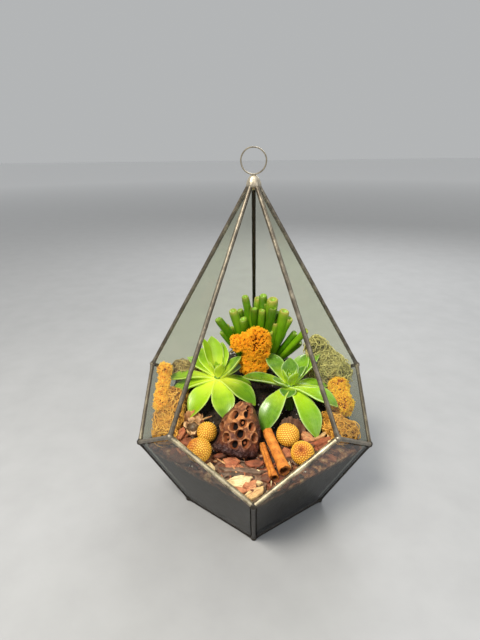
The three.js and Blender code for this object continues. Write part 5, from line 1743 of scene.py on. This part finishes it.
@dataclass
class HuskedNut:
    """A dark nut in a dry cup with a ragged lip."""

    centre: Trio = (-52.5, -17.0, 75.25)
    radius: float = 6.8
    tilt: Trio = (0.1, -0.45, 1.0)
    wall: float = 1.3
    rest: float = 7.6  # how far the chips stay from its centre

    def turned(self, stops: Sequence[Pair], columns: int, ragged: bool) -> Array:
        """Rings round the tilted axis.

        Args:
            stops: Height and radius of each given ring, in millimetres.
            columns: Points in a ring.
            ragged: Whether the rings above the middle have the lip's five waves.

        Returns:
            The ring points, with smooth rings between the given ones.
        """
        axis = unit(np.array(self.tilt, float))
        first, second = across(axis, SIDEWAYS)
        knots = np.linspace(0, 1, len(stops))
        rows = spline(knots, stops, np.linspace(0, 1, 5 * len(stops)))
        a = around(columns)[None]
        height, radius = rows[:, :1], rows[:, 1:]
        lobes = 1 + np.where(ragged & (height > 0), 0.07 * np.sin(5 * a), 0.0)
        rise = np.where(ragged & (height > 1.2), 0.9 * np.sin(5 * a + 0.6) + 0.5 * np.sin(11 * a), 0.0)
        return (
            np.array(self.centre)
            + (height + rise * smooth((height - 1.2) / 2))[..., None] * axis
            + (radius * lobes)[..., None] * spokes(a, first, second))

    def flaps(self, draft: Draft) -> None:
        """Adds dry strips that curl away from the lip of the cup.

        Args:
            draft: The husk that they are added to.
        """
        axis = unit(np.array(self.tilt, float))
        first, second = across(axis, SIDEWAYS)
        t = np.linspace(0, 1, 14)
        angle = around(10)
        for k in range(5):
            a = 0.9 + k * 2 * pi / 5 + 0.3 * sin(5 * k)
            out = cos(a) * first + sin(a) * second
            side = np.cross(axis, out)
            reach = 0.9 * self.radius + (3.4 + 1.2 * sin(3 * k)) * t**1.6 - 1.2 * t
            rise = 0.2 * self.radius + (5.4 + 1.4 * cos(4 * k)) * np.sin(t * 2.0)
            middle = np.array(self.centre) + reach[:, None] * out + rise[:, None] * axis
            middle = middle + (1.4 * sin(2 * k) * t**2)[:, None] * side
            wide = (3.7 - 2.2 * t**2) * (1 + 0.15 * np.sin(9 * t + k))
            along = unit(np.gradient(middle, axis=0))
            face = np.cross(along, side)
            rings = (
                middle[:, None]
                + wide[:, None, None] * np.cos(angle)[None, :, None] * side
                + 0.32 * np.sin(angle)[None, :, None] * face[:, None]
                + (0.5 * wide[:, None] * np.cos(angle)[None] ** 2)[..., None] * face[:, None])
            draft.loft(rings, inner=0.15)

    def build(self) -> None:
        """Builds the husk and the nut."""
        big, wall = self.radius, self.wall
        cup = [
            (-0.82 * big, 0.5 * big), (-0.4 * big, 0.88 * big), (0.25 * big, big),
            (0.5 * big, 0.95 * big), (0.46 * big, 0.95 * big - wall), (0.2 * big, big - wall - 0.1),
            (-0.34 * big, 0.84 * big - wall), (-0.58 * big, 0.42 * big - 0.3)]
        rings = self.turned(cup, 48, True)
        rings += 0.3 * noise(rings, 2.0, 2)[..., None] * unit(rings - np.array(self.centre))
        inner = smooth((np.arange(len(rings)) / len(rings) - 0.5) / 0.12)
        draft = Draft()
        draft.loft(rings, inner=inner[:, None])
        self.flaps(draft)
        tan = DryHusk("husk_tan", (244, 218, 178), (222, 178, 130), (134, 86, 54), 0.8).make()
        fit(draft.make("nut_husk_cup", 50), "nut_husk", Slot.HUSK, tan)
        kernel = [
            (-0.42, 0.03), (-0.3, 0.28), (-0.1, 0.52), (0.25, 0.68), (0.55, 0.6), (0.85, 0.34),
            (0.98, 0.05)]
        rings = self.turned([(h * big, 1.1 * (r * big)) for h, r in kernel], 40, False)
        rings += 0.12 * noise(rings, 2.5, 4)[..., None] * unit(rings - np.array(self.centre))
        draft = Draft()
        draft.loft(rings, inner=0.0)
        brown = DryHusk("nut_brown", (168, 146, 118), (104, 82, 62), (52, 38, 28), 0.4).make()
        fit(draft.make("nut_kernel"), "nut", Slot.NUT, brown)


# ---- bark litter ----


@dataclass(frozen=True)
class Chip:
    """A chip that is listed one by one: place, length, width, direction and tone."""

    x: float
    y: float
    length: float
    width: float
    yaw: float
    tone: float
    tilt: float = 0.0
    lift: float = 2.5  # how far above the soil it lies


@dataclass(frozen=True)
class Plate:
    """A curved piece of husk on edge: the middle of its bend, radius, angles and height."""

    x: float
    y: float
    bend: float
    start: float
    end: float
    height: float
    wall: float
    tone: float


@dataclass
class Litter(Maker):
    """A patch of bark chips on the soil, with finer slivers between them."""

    name: str
    patch: tuple[float, float, float, float]
    laid: Sequence[Chip]
    seed: int
    rests: Sequence[tuple[Array, float]]
    slivers: int
    bits: int
    back: float  # how far behind the patch the small pieces are strewn
    plates: Sequence[Plate]
    chip_length: float = 18.0

    def chip(self, chip: Chip, lift: float, draw: Callable[[], float], flat: float = 1.0) -> None:
        """Adds one chip: an irregular five-cornered flake, bent to the soil it lies on.

        Args:
            chip: Its place, sizes, direction and tone.
            lift: How far it lies above the soil.
            draw: The source of random numbers, used as the solid uses it.
            flat: Its thickness as a share of a large chip's.
        """
        thick = flat * (1.9 + 0.9 * draw())
        corners = []
        for i in range(5):
            a = ((i + 0.35 * draw()) / 5) * 2 * pi
            x, y = chip.length / 2 * cos(a), chip.width / 2 * sin(a)
            corners.append((x, y, lift + 0.7 * draw()))
        fine = 7
        t = np.arange(5 * fine) / fine
        k = np.floor(t).astype(int)
        share = (t - k)[:, None]
        points = np.array(corners)
        outline = points[k % 5] * (1 - share) + points[(k + 1) % 5] * share
        key = np.column_stack([outline[:, :2], np.full(len(outline), chip.x + chip.y)])
        jag = 1 + 0.045 * noise(key, 1.2, 3) + 0.13 * noise(key, 3.6, 4)
        outline[:, :2] *= jag[:, None]
        turn = radians(chip.yaw)
        layers = [
            (0.0, 0.96), (0.4, 1.0), (0.86, 0.97), (0.98, 0.93), (1.02, 0.8), (1.04, 0.5), (1.0, 0.18)]
        height, size = np.array(layers).T[..., None]
        along, aside = size * outline[:, 0], size * outline[:, 1]
        x = chip.x + along * cos(turn) - aside * sin(turn)
        y = chip.y + along * sin(turn) + aside * cos(turn)
        z = self.shape.soil_height(x, y) + 2 * self.shape.gap + outline[:, 2] + height * thick
        made = np.stack([x, y, z], axis=-1)
        relief = 0.5 * noise(made * np.array([1, 1, 0.2]), 2.6, int(chip.x) & 31)
        made[..., 2] += relief * np.array([0.3, 0.6, 1, 1, 1, 1, 1])[:, None]
        made[..., 2] -= 0.5 * thick * (2 * aside / chip.width) ** 2
        lean = np.array([cos(37 * chip.x), sin(37 * chip.x)]) * chip.tilt
        made[..., 2] += (made[..., :2] - np.array([chip.x, chip.y])) @ lean
        made = self.settle(made)
        self.draft.loft(made, tone=chip.tone, along=along + 13 * chip.x, aside=aside + 7 * chip.y)

    def settle(self, points: Array) -> Array:
        """Keeps chips behind the glass and under what lies on them."""
        made = self.shape.tuck(points, 1.5)
        for centre, radius in self.rests:
            away = made - centre
            flat = np.sum(away[..., :2] ** 2, axis=-1)
            dips = (flat < radius**2) & (np.sum(away**2, axis=-1) < radius**2)
            floor = centre[2] - np.sqrt(np.maximum(radius**2 - flat, 0))
            made[..., 2] = np.where(dips, np.minimum(made[..., 2], floor), made[..., 2])
        return made

    def small_chips(self) -> None:
        """Adds broken pieces of bark strewn over the large ones."""
        rng = np.random.default_rng(self.seed + 90)
        x0, x1, y0, y1 = self.patch
        palette = [0.08, 0.3, 0.4, 0.5, 0.56, 0.6, 0.66, 0.72, 0.8, 0.86, 0.92, 0.96, 1.0, 1.0]
        for _ in range(self.bits):
            x, y = rng.uniform(x0 - 7, x1 + 7), rng.uniform(y0 - 6, y1 + self.back)
            length = rng.uniform(4.0, 12.0)
            lift, tilt = rng.uniform(0.6, 2.6), rng.uniform(0.0, 0.35)
            tone = palette[int(rng.integers(len(palette)))]
            flake = Chip(x, y, length, length * rng.uniform(0.35, 0.8), rng.uniform(0, 360), tone, tilt)
            self.chip(flake, lift, draws(int(rng.integers(1 << 30))), 0.5)

    def sliver_bits(self) -> None:
        """Adds thin splinters and fibres strewn over the chips."""
        rng = np.random.default_rng(self.seed)
        x0, x1, y0, y1 = self.patch
        for _ in range(self.slivers):
            x, y = rng.uniform(x0 - 5, x1 + 5), rng.uniform(y0 - 4, y1 + self.back)
            length, width = rng.uniform(4, 14), rng.uniform(0.6, 2.2)
            yaw = rng.uniform(0, pi)
            t = np.linspace(-0.5, 0.5, 7)
            across_way = np.array([-sin(yaw), cos(yaw), 0.0])
            along_way = np.array([cos(yaw), sin(yaw), 0.0])
            middle = np.array([x, y, 0.0]) + t[:, None] * length * along_way
            tilt = rng.uniform(-0.25, 0.25)
            middle[:, 2] = self.shape.soil_height(middle[:, 0], middle[:, 1]) + rng.uniform(2.4, 4.4)
            middle[:, 2] += tilt * t * length + 0.6 * np.cos(pi * t)
            wide = width / 2 * (1 - np.abs(2 * t) ** 3 * 0.8) * (1 + 0.2 * noise(middle, 1.5, 2))
            deep = 0.28 + 0.22 * rng.random()
            a = around(8)
            rings = (
                middle[:, None]
                + wide[:, None, None] * np.cos(a)[None, :, None] * across_way
                + deep * np.sin(a)[None, :, None] * UP)
            run = (t * length)[:, None] + 5 * x
            self.draft.loft(self.settle(rings), tone=rng.uniform(0.0, 0.95), along=run, aside=3 * y)

    def husk_plate(self, plate: Plate) -> None:
        """Adds a curved piece of husk that stands on edge.

        Args:
            plate: Its place and sizes.
        """
        t = np.linspace(0, 1, 60)
        a = np.radians(plate.start + (plate.end - plate.start) * t)
        x = plate.x + plate.bend * np.cos(a)
        foot = self.shape.soil_height(x, plate.y + plate.bend * np.sin(a)) + 0.6
        ragged = 0.7 * np.sin(t * 24) + 0.5 * np.sin(t * 57 + 1) + 0.4 * np.sin(t * 11)
        top = foot + 0.4 * plate.height + 0.6 * plate.height * np.sin(pi * (0.12 + 0.76 * t)) + ragged
        section = [(0, 0.0), (-0.5, 0.1), (-0.5, 0.9), (-0.2, 1.0), (0.2, 1.0), (0.5, 0.9), (0.5, 0.1)]
        side, rise = np.array(section).T
        r = plate.bend + side * plate.wall * (1 - 0.35 * rise) + 1.6 * rise
        x, y = plate.x + r * np.cos(a)[:, None], plate.y + r * np.sin(a)[:, None]
        made = np.stack([x, y, foot[:, None] + rise * (top - foot)[:, None]], axis=-1)
        made += 0.45 * noise(made, 2.4, 6)[..., None] * np.array([0.5, 0.5, 0.6])
        grain = (t * 22)[:, None]
        self.draft.loft(self.settle(made)[:, ::-1], tone=plate.tone, along=grain, aside=0.3 * grain)

    def build(self, look: Material) -> None:
        """Builds the patch.

        Args:
            look: The chips' material.
        """
        draw = draws(self.seed)
        tones = np.random.default_rng(self.seed + 500)
        step = 0.76 * self.chip_length
        x0, x1, y0, y1 = self.patch
        y = y0
        while y <= y1:
            x = x0
            while x <= x1:
                px, py = x + 3 * (draw() - 0.5), y + 3 * (draw() - 0.5)
                long = self.chip_length * (0.95 + 0.35 * draw())
                wide = long * (0.62 + 0.25 * draw())
                yaw, lift = 180 * draw(), 0.6 * draw()
                tone = tones.choice([0.4, 0.52, 0.58, 0.66, 0.76, 0.88, 0.96, 1.0])
                self.chip(Chip(px, py, long, wide, yaw, tone), lift - 0.9, draw)
                x += step
            y += step
        for chip in self.laid:
            self.chip(chip, chip.lift, draw, 0.8)
        for plate in self.plates:
            self.husk_plate(plate)
        self.small_chips()
        self.sliver_bits()
        fit(self.draft.make(f"{self.name}_chips", 38), self.name, Slot.CHIPS, look)


# ---- everything in the case ----


@dataclass
class Planting:
    """All that grows and lies in the case."""

    shape: CaseShape
    seed: int = 20417

    def lichens(self) -> None:
        """Builds the orange lichen."""
        # The first colour of each finish is the painted shade of its depths.
        orange = DryTufts("lichen_orange", (104, 42, 2), (246, 142, 6), (255, 200, 50), (176, 86, 10), 0.08)
        rust = DryTufts("lichen_rust", (140, 62, 8), (255, 158, 30), (255, 218, 92), (206, 112, 26), 0.12)
        amber = DryTufts("lichen_amber", (146, 68, 4), (255, 166, 14), (255, 224, 70), (212, 120, 18), 0.08)
        centre = [
            (-14.5, 36, 131.5, 8.2, 8, 8.5), (3.2, 35.4, 132, 13.6, 10.5, 16),
            (1.2, 38, 113, 14, 9.5, 13), (0.5, 38, 106, 13.5, 9.5, 12)]
        left = [
            (-82, 23.5, 109.5, 7.5, 11.5, 7), (-84.5, 9, 102.5, 7.5, 12, 7.5),
            (-85.5, -6, 95.5, 7.5, 11.5, 7.5)]
        right = [(79, 16.5, 95, 10.5, 11.5, 13), (79, 1, 89, 11.5, 12, 11.5)]
        jobs = [("centre", centre, orange), ("left", left, rust), ("right", right, amber)]
        for k, (side, lobes, look) in enumerate(jobs):
            Lichen(self.shape, f"lichen_{side}", lobes, look, Slot.LICHEN, self.seed + k).build()

    def mosses(self) -> None:
        """Builds the strand mosses."""
        # The first colour of each finish is the painted shade of its depths.
        golden = DryTufts("moss_golden", (46, 26, 6), (178, 120, 36), (244, 194, 96), (140, 84, 30), 0.2)
        amber = DryTufts("moss_amber", (44, 26, 8), (186, 128, 40), (244, 194, 92), (140, 92, 30), 0.2)
        olive = DryTufts("moss_olive", (38, 38, 14), (140, 136, 72), (216, 208, 140), (104, 104, 48), 0.2)
        umber = DryTufts("moss_umber", (46, 34, 16), (146, 122, 72), (206, 184, 130), (104, 90, 46), 0.25)
        left = [
            (-76, 16.5, 83.5, 10.5, 12, 6), (-76.5, 4, 81.7, 10.5, 11, 7.7),
            (-76, -10, 77.5, 11, 11, 8.5), (-75, -24, 73.5, 10, 10, 8.5), (-74, -8, 84, 9, 10, 8),
            (-72, 5, 92, 8, 9, 8)]
        right = [(77, -22, 76, 10, 9, 9), (67, -11, 77, 9, 9, 7.5)]
        back_right = [
            (68, 38, 100, 14, 12, 14), (70, 33, 117, 12, 10, 12), (60, 36, 130, 9, 8, 11),
            (70, 33, 117, 11, 10, 12), (80, 26, 108, 8, 10, 9)]
        back_left = [(-66, 48, 98, 12, 12, 11), (-73, 44.5, 103, 8.5, 8.5, 8.5)]
        jobs = [
            ("moss_left", left, golden, Slot.GOLDEN_MOSS, 3),
            ("moss_right", right, amber, Slot.GOLDEN_MOSS, 4),
            ("moss_back_right", back_right, olive, Slot.OLIVE_MOSS, 15),
            ("moss_back_left", back_left, umber, Slot.UMBER_MOSS, 6)]
        for name, lobes, look, slot, shift in jobs:
            StrandMoss(self.shape, name, lobes, look, slot, self.seed + shift).build()

    def plants(self) -> None:
        """Builds the rosettes and the jade."""
        lime = FleshyLeaf(
            "leaf_lime", (236, 248, 78), (156, 198, 6), (76, 128, 4), (216, 236, 140), (150, 170, 30), 0.26
        )
        green = FleshyLeaf(
            "leaf_green", (194, 222, 20), (130, 180, 14), (62, 110, 10), (206, 230, 160), (150, 170, 40),
            0.2)
        left = np.array([-34, 30, 105 + self.shape.base_z])
        right = np.array([32.3, 12, 107 + self.shape.base_z])
        Rosette(self.shape, "rosette_left", left, LEFT_LEAVES, lime, seed=self.seed).build()
        Rosette(self.shape, "rosette_right", right, RIGHT_LEAVES, green, seed=self.seed + 9).build()
        FingerJade(self.shape).build()

    def dry_things(self) -> None:
        """Builds the pod, the fruits, the quills and the nut."""
        Pod(self.shape).build()
        Fruits(self.shape).build()
        bark = RolledBark("cinnamon_bark").make()
        for quill in QUILLS:
            quill.build(bark)
        HuskedNut().build()

    def resting(self) -> Iterator[tuple[Array, float]]:
        """The balls that the chips stay under: a middle and a radius each."""
        fruits, nut = Fruits(self.shape), HuskedNut()
        for plan in fruits.plans:
            yield fruits.centre(plan), 1.03 * plan.radius
        yield np.array(nut.centre), nut.rest
        for t in np.linspace(0, 1, 9):
            for quill in QUILLS:
                yield quill.line(t), quill.rest

    def litter(self) -> None:
        """Builds the bark litter."""
        look = BarkChips("bark_chips_mixed").make()
        rests = list(self.resting())
        front = [
            (-26.5, -45.5, 15, 6, 27, 0.52, 0.1), (-9.0, -62.0, 41, 6, -5, 0.78, 0.03),
            (-17.0, -67.0, 22, 5, -4, 0.86, 0.05), (-17.8, -53.5, 15, 12, -4, 0.36, 0.16),
            (1.5, -53.0, 18, 10, 0, 0.46, 0.14), (-33.5, -59.5, 13, 6, -65, 0.03, 0.12),
            (-10.5, -74.0, 21, 16, 13, 0.02, 0.08), (-2.0, -78.5, 12, 12, 30, 0.27, 0.1),
            (-10.0, -83.5, 12, 6, -20, 0.3, 0.06), (4.0, -75.5, 6, 5, -18, 0.08, 0.15),
            (1.0, -85.5, 19, 10, 36, 0.14, 0.1), (10.0, -69.5, 11, 9, -25, 0.56, 0.1),
            (28.5, -54.5, 8, 2.4, -83, 0.0, 0.2), (2.5, -61.5, 8, 2.2, -38, 0.0, 0.2)]
        left = [
            (-48.5, -9.5, 12, 9, 60, 0.46), (-66.5, -14.5, 13, 5, 82, 0.03, 0.25, 7.5),
            (-63.0, -27.0, 14, 10, 66, 0.4, 0.3, 6.5), (-61.5, -24.0, 12, 13, 0, 0.4, 0.15),
            (-57, -31, 13, 9, -20, 0.5, 0.1), (-54, -51, 13, 9, 30, 0.62)]
        right = [
            (55.0, -24.0, 20, 5, 28, 0.18, 0.15), (56.5, -29.0, 22, 7, 31, 0.38, 0.12),
            (60, -34, 20, 6, 28, 0.46, 0.1), (26, -41.5, 12, 9, -50, 0.3, 0.15),
            (46, -35, 14, 9, 60, 0.56), (45, -26, 15, 10, -50, 0.22, 0.2, 4.0)]
        behind_fruit = Plate(30.0, -30.0, 15.4, 34, 118, 13, 1.8, 0.62)
        behind_nut = Plate(-53.0, -15.5, 11.5, 62, 150, 11, 1.4, 0.24)
        # Name, patch, chips, seed; then the slivers, bits, reach at the back, and plates.
        jobs = [
            ("bark_litter_front", (-24, 30, -84, -56), front, 11, (46, 44, 14, [])),
            ("bark_litter_left", (-60, -46, -44, -6), left, 12, (24, 22, 5, [behind_nut])),
            ("bark_litter_right", (30, 57, -41, -27), right, 13, (24, 20, 8, [behind_fruit]))]
        for name, patch, laid, shift, more in jobs:
            chips = [Chip(*row) for row in laid]
            Litter(self.shape, name, patch, chips, self.seed + shift, rests, *more).build(look)

    def build(self) -> None:
        """Builds all of the planting."""
        SoilBed(self.shape).build()
        self.plants()
        self.lichens()
        self.mosses()
        self.dry_things()
        self.litter()


# ---- the studio ----


@dataclass
class Studio:
    """A pale floor, soft light and the camera."""

    focal_px: float = 445.5
    frame_px: float = 640.0
    sensor_mm: float = 36.0
    tilt: float = 21.55  # degrees below the level
    roll: float = 0.75
    turn: float = -2.1
    aim_height: float = 101.75
    offset: Trio = (11.3, -64.25, 391.3)  # right, up and away

    def place_camera(self) -> None:
        """Puts the camera where the picture was taken from."""
        el, roll, yaw = (radians(v) for v in (self.tilt, self.roll, self.turn))
        right = SIDEWAYS
        ahead = np.array([0.0, cos(el), -sin(el)])
        up = np.array([0.0, sin(el), cos(el)])
        cx, cy, away = self.offset
        eye = np.array([0, 0, self.aim_height]) - cx * right - cy * up - away * ahead
        camera_right = cos(roll) * right - sin(roll) * up
        camera_up = sin(roll) * right + cos(roll) * up
        back = np.array([[cos(yaw), sin(yaw), 0], [-sin(yaw), cos(yaw), 0], [0, 0, 1]])
        pose = np.eye(4)
        pose[:3, :3] = np.column_stack([back @ axis for axis in (camera_right, camera_up, -ahead)])
        pose[:3, 3] = back @ eye * MM
        lens = bpy.data.cameras.new("picture_camera")
        lens.lens = self.focal_px * self.sensor_mm / self.frame_px
        lens.sensor_width = self.sensor_mm
        lens.clip_start = 0.01
        camera = bpy.data.objects.new("picture_camera", lens)
        bpy.context.scene.collection.objects.link(camera)
        camera.matrix_world = Matrix(pose.tolist())
        bpy.context.scene.camera = camera

    def lamp(self, name: str, spot: Sequence[float], size: float, power: float, tint: Colour) -> None:
        """Adds a soft area light that faces the planter.

        Args:
            name: Its name.
            spot: Where it hangs, in metres.
            size: Its width in metres.
            power: Its power in watts.
            tint: Its colour.
        """
        light = bpy.data.lights.new(name, "AREA")
        light.size = size
        light.energy = power
        light.color = linear(tint)[:3]
        lamp = bpy.data.objects.new(name, light)
        bpy.context.scene.collection.objects.link(lamp)
        lamp.location = spot
        towards = Vector((0, 0, 0.1)) - Vector(spot)
        lamp.rotation_euler = towards.to_track_quat("-Z", "Y").to_euler()

    def build(self) -> None:
        """Builds the floor, the light and the camera."""
        size, cells = 9.0, 36
        step = np.linspace(-size, size, cells + 1)
        x, y = np.meshgrid(step, step)
        points = np.stack([x, y, np.full_like(x, -0.0002)], axis=-1) / MM
        draft = Draft()
        draft.add(points, [skin(cells + 1, cells + 1, False)])
        floor = draft.make("table_top")
        # The second colour is the painted light of the far floor.
        floor.data.materials.append(PaleFloor("table_pale", (158, 159, 160), (244, 244, 244)).make())
        world = bpy.data.worlds.new("studio_air")
        world.use_nodes = True
        air = world.node_tree.nodes["Background"]
        air.inputs["Color"].default_value = linear((196, 198, 199))
        air.inputs["Strength"].default_value = 0.82
        bpy.context.scene.world = world
        self.lamp("key_light", (-0.35, -0.5, 0.95), 0.32, 14.0, (255, 249, 238))
        self.lamp("fill_light", (0.75, -0.7, 0.6), 0.9, 4.5, (244, 248, 255))
        self.lamp("back_light", (0.25, 0.8, 0.85), 0.6, 7.0, (255, 255, 255))
        bpy.context.scene.view_settings.view_transform = "Standard"
        self.place_camera()


def main() -> None:
    """Builds the planter's pieces in order."""
    logging.basicConfig(level=logging.INFO, format="%(message)s")
    shape = CaseShape()
    Studio().build()
    SolderedCase(shape).build()
    Planting(shape).build()


if __name__ == "__main__":
    main()
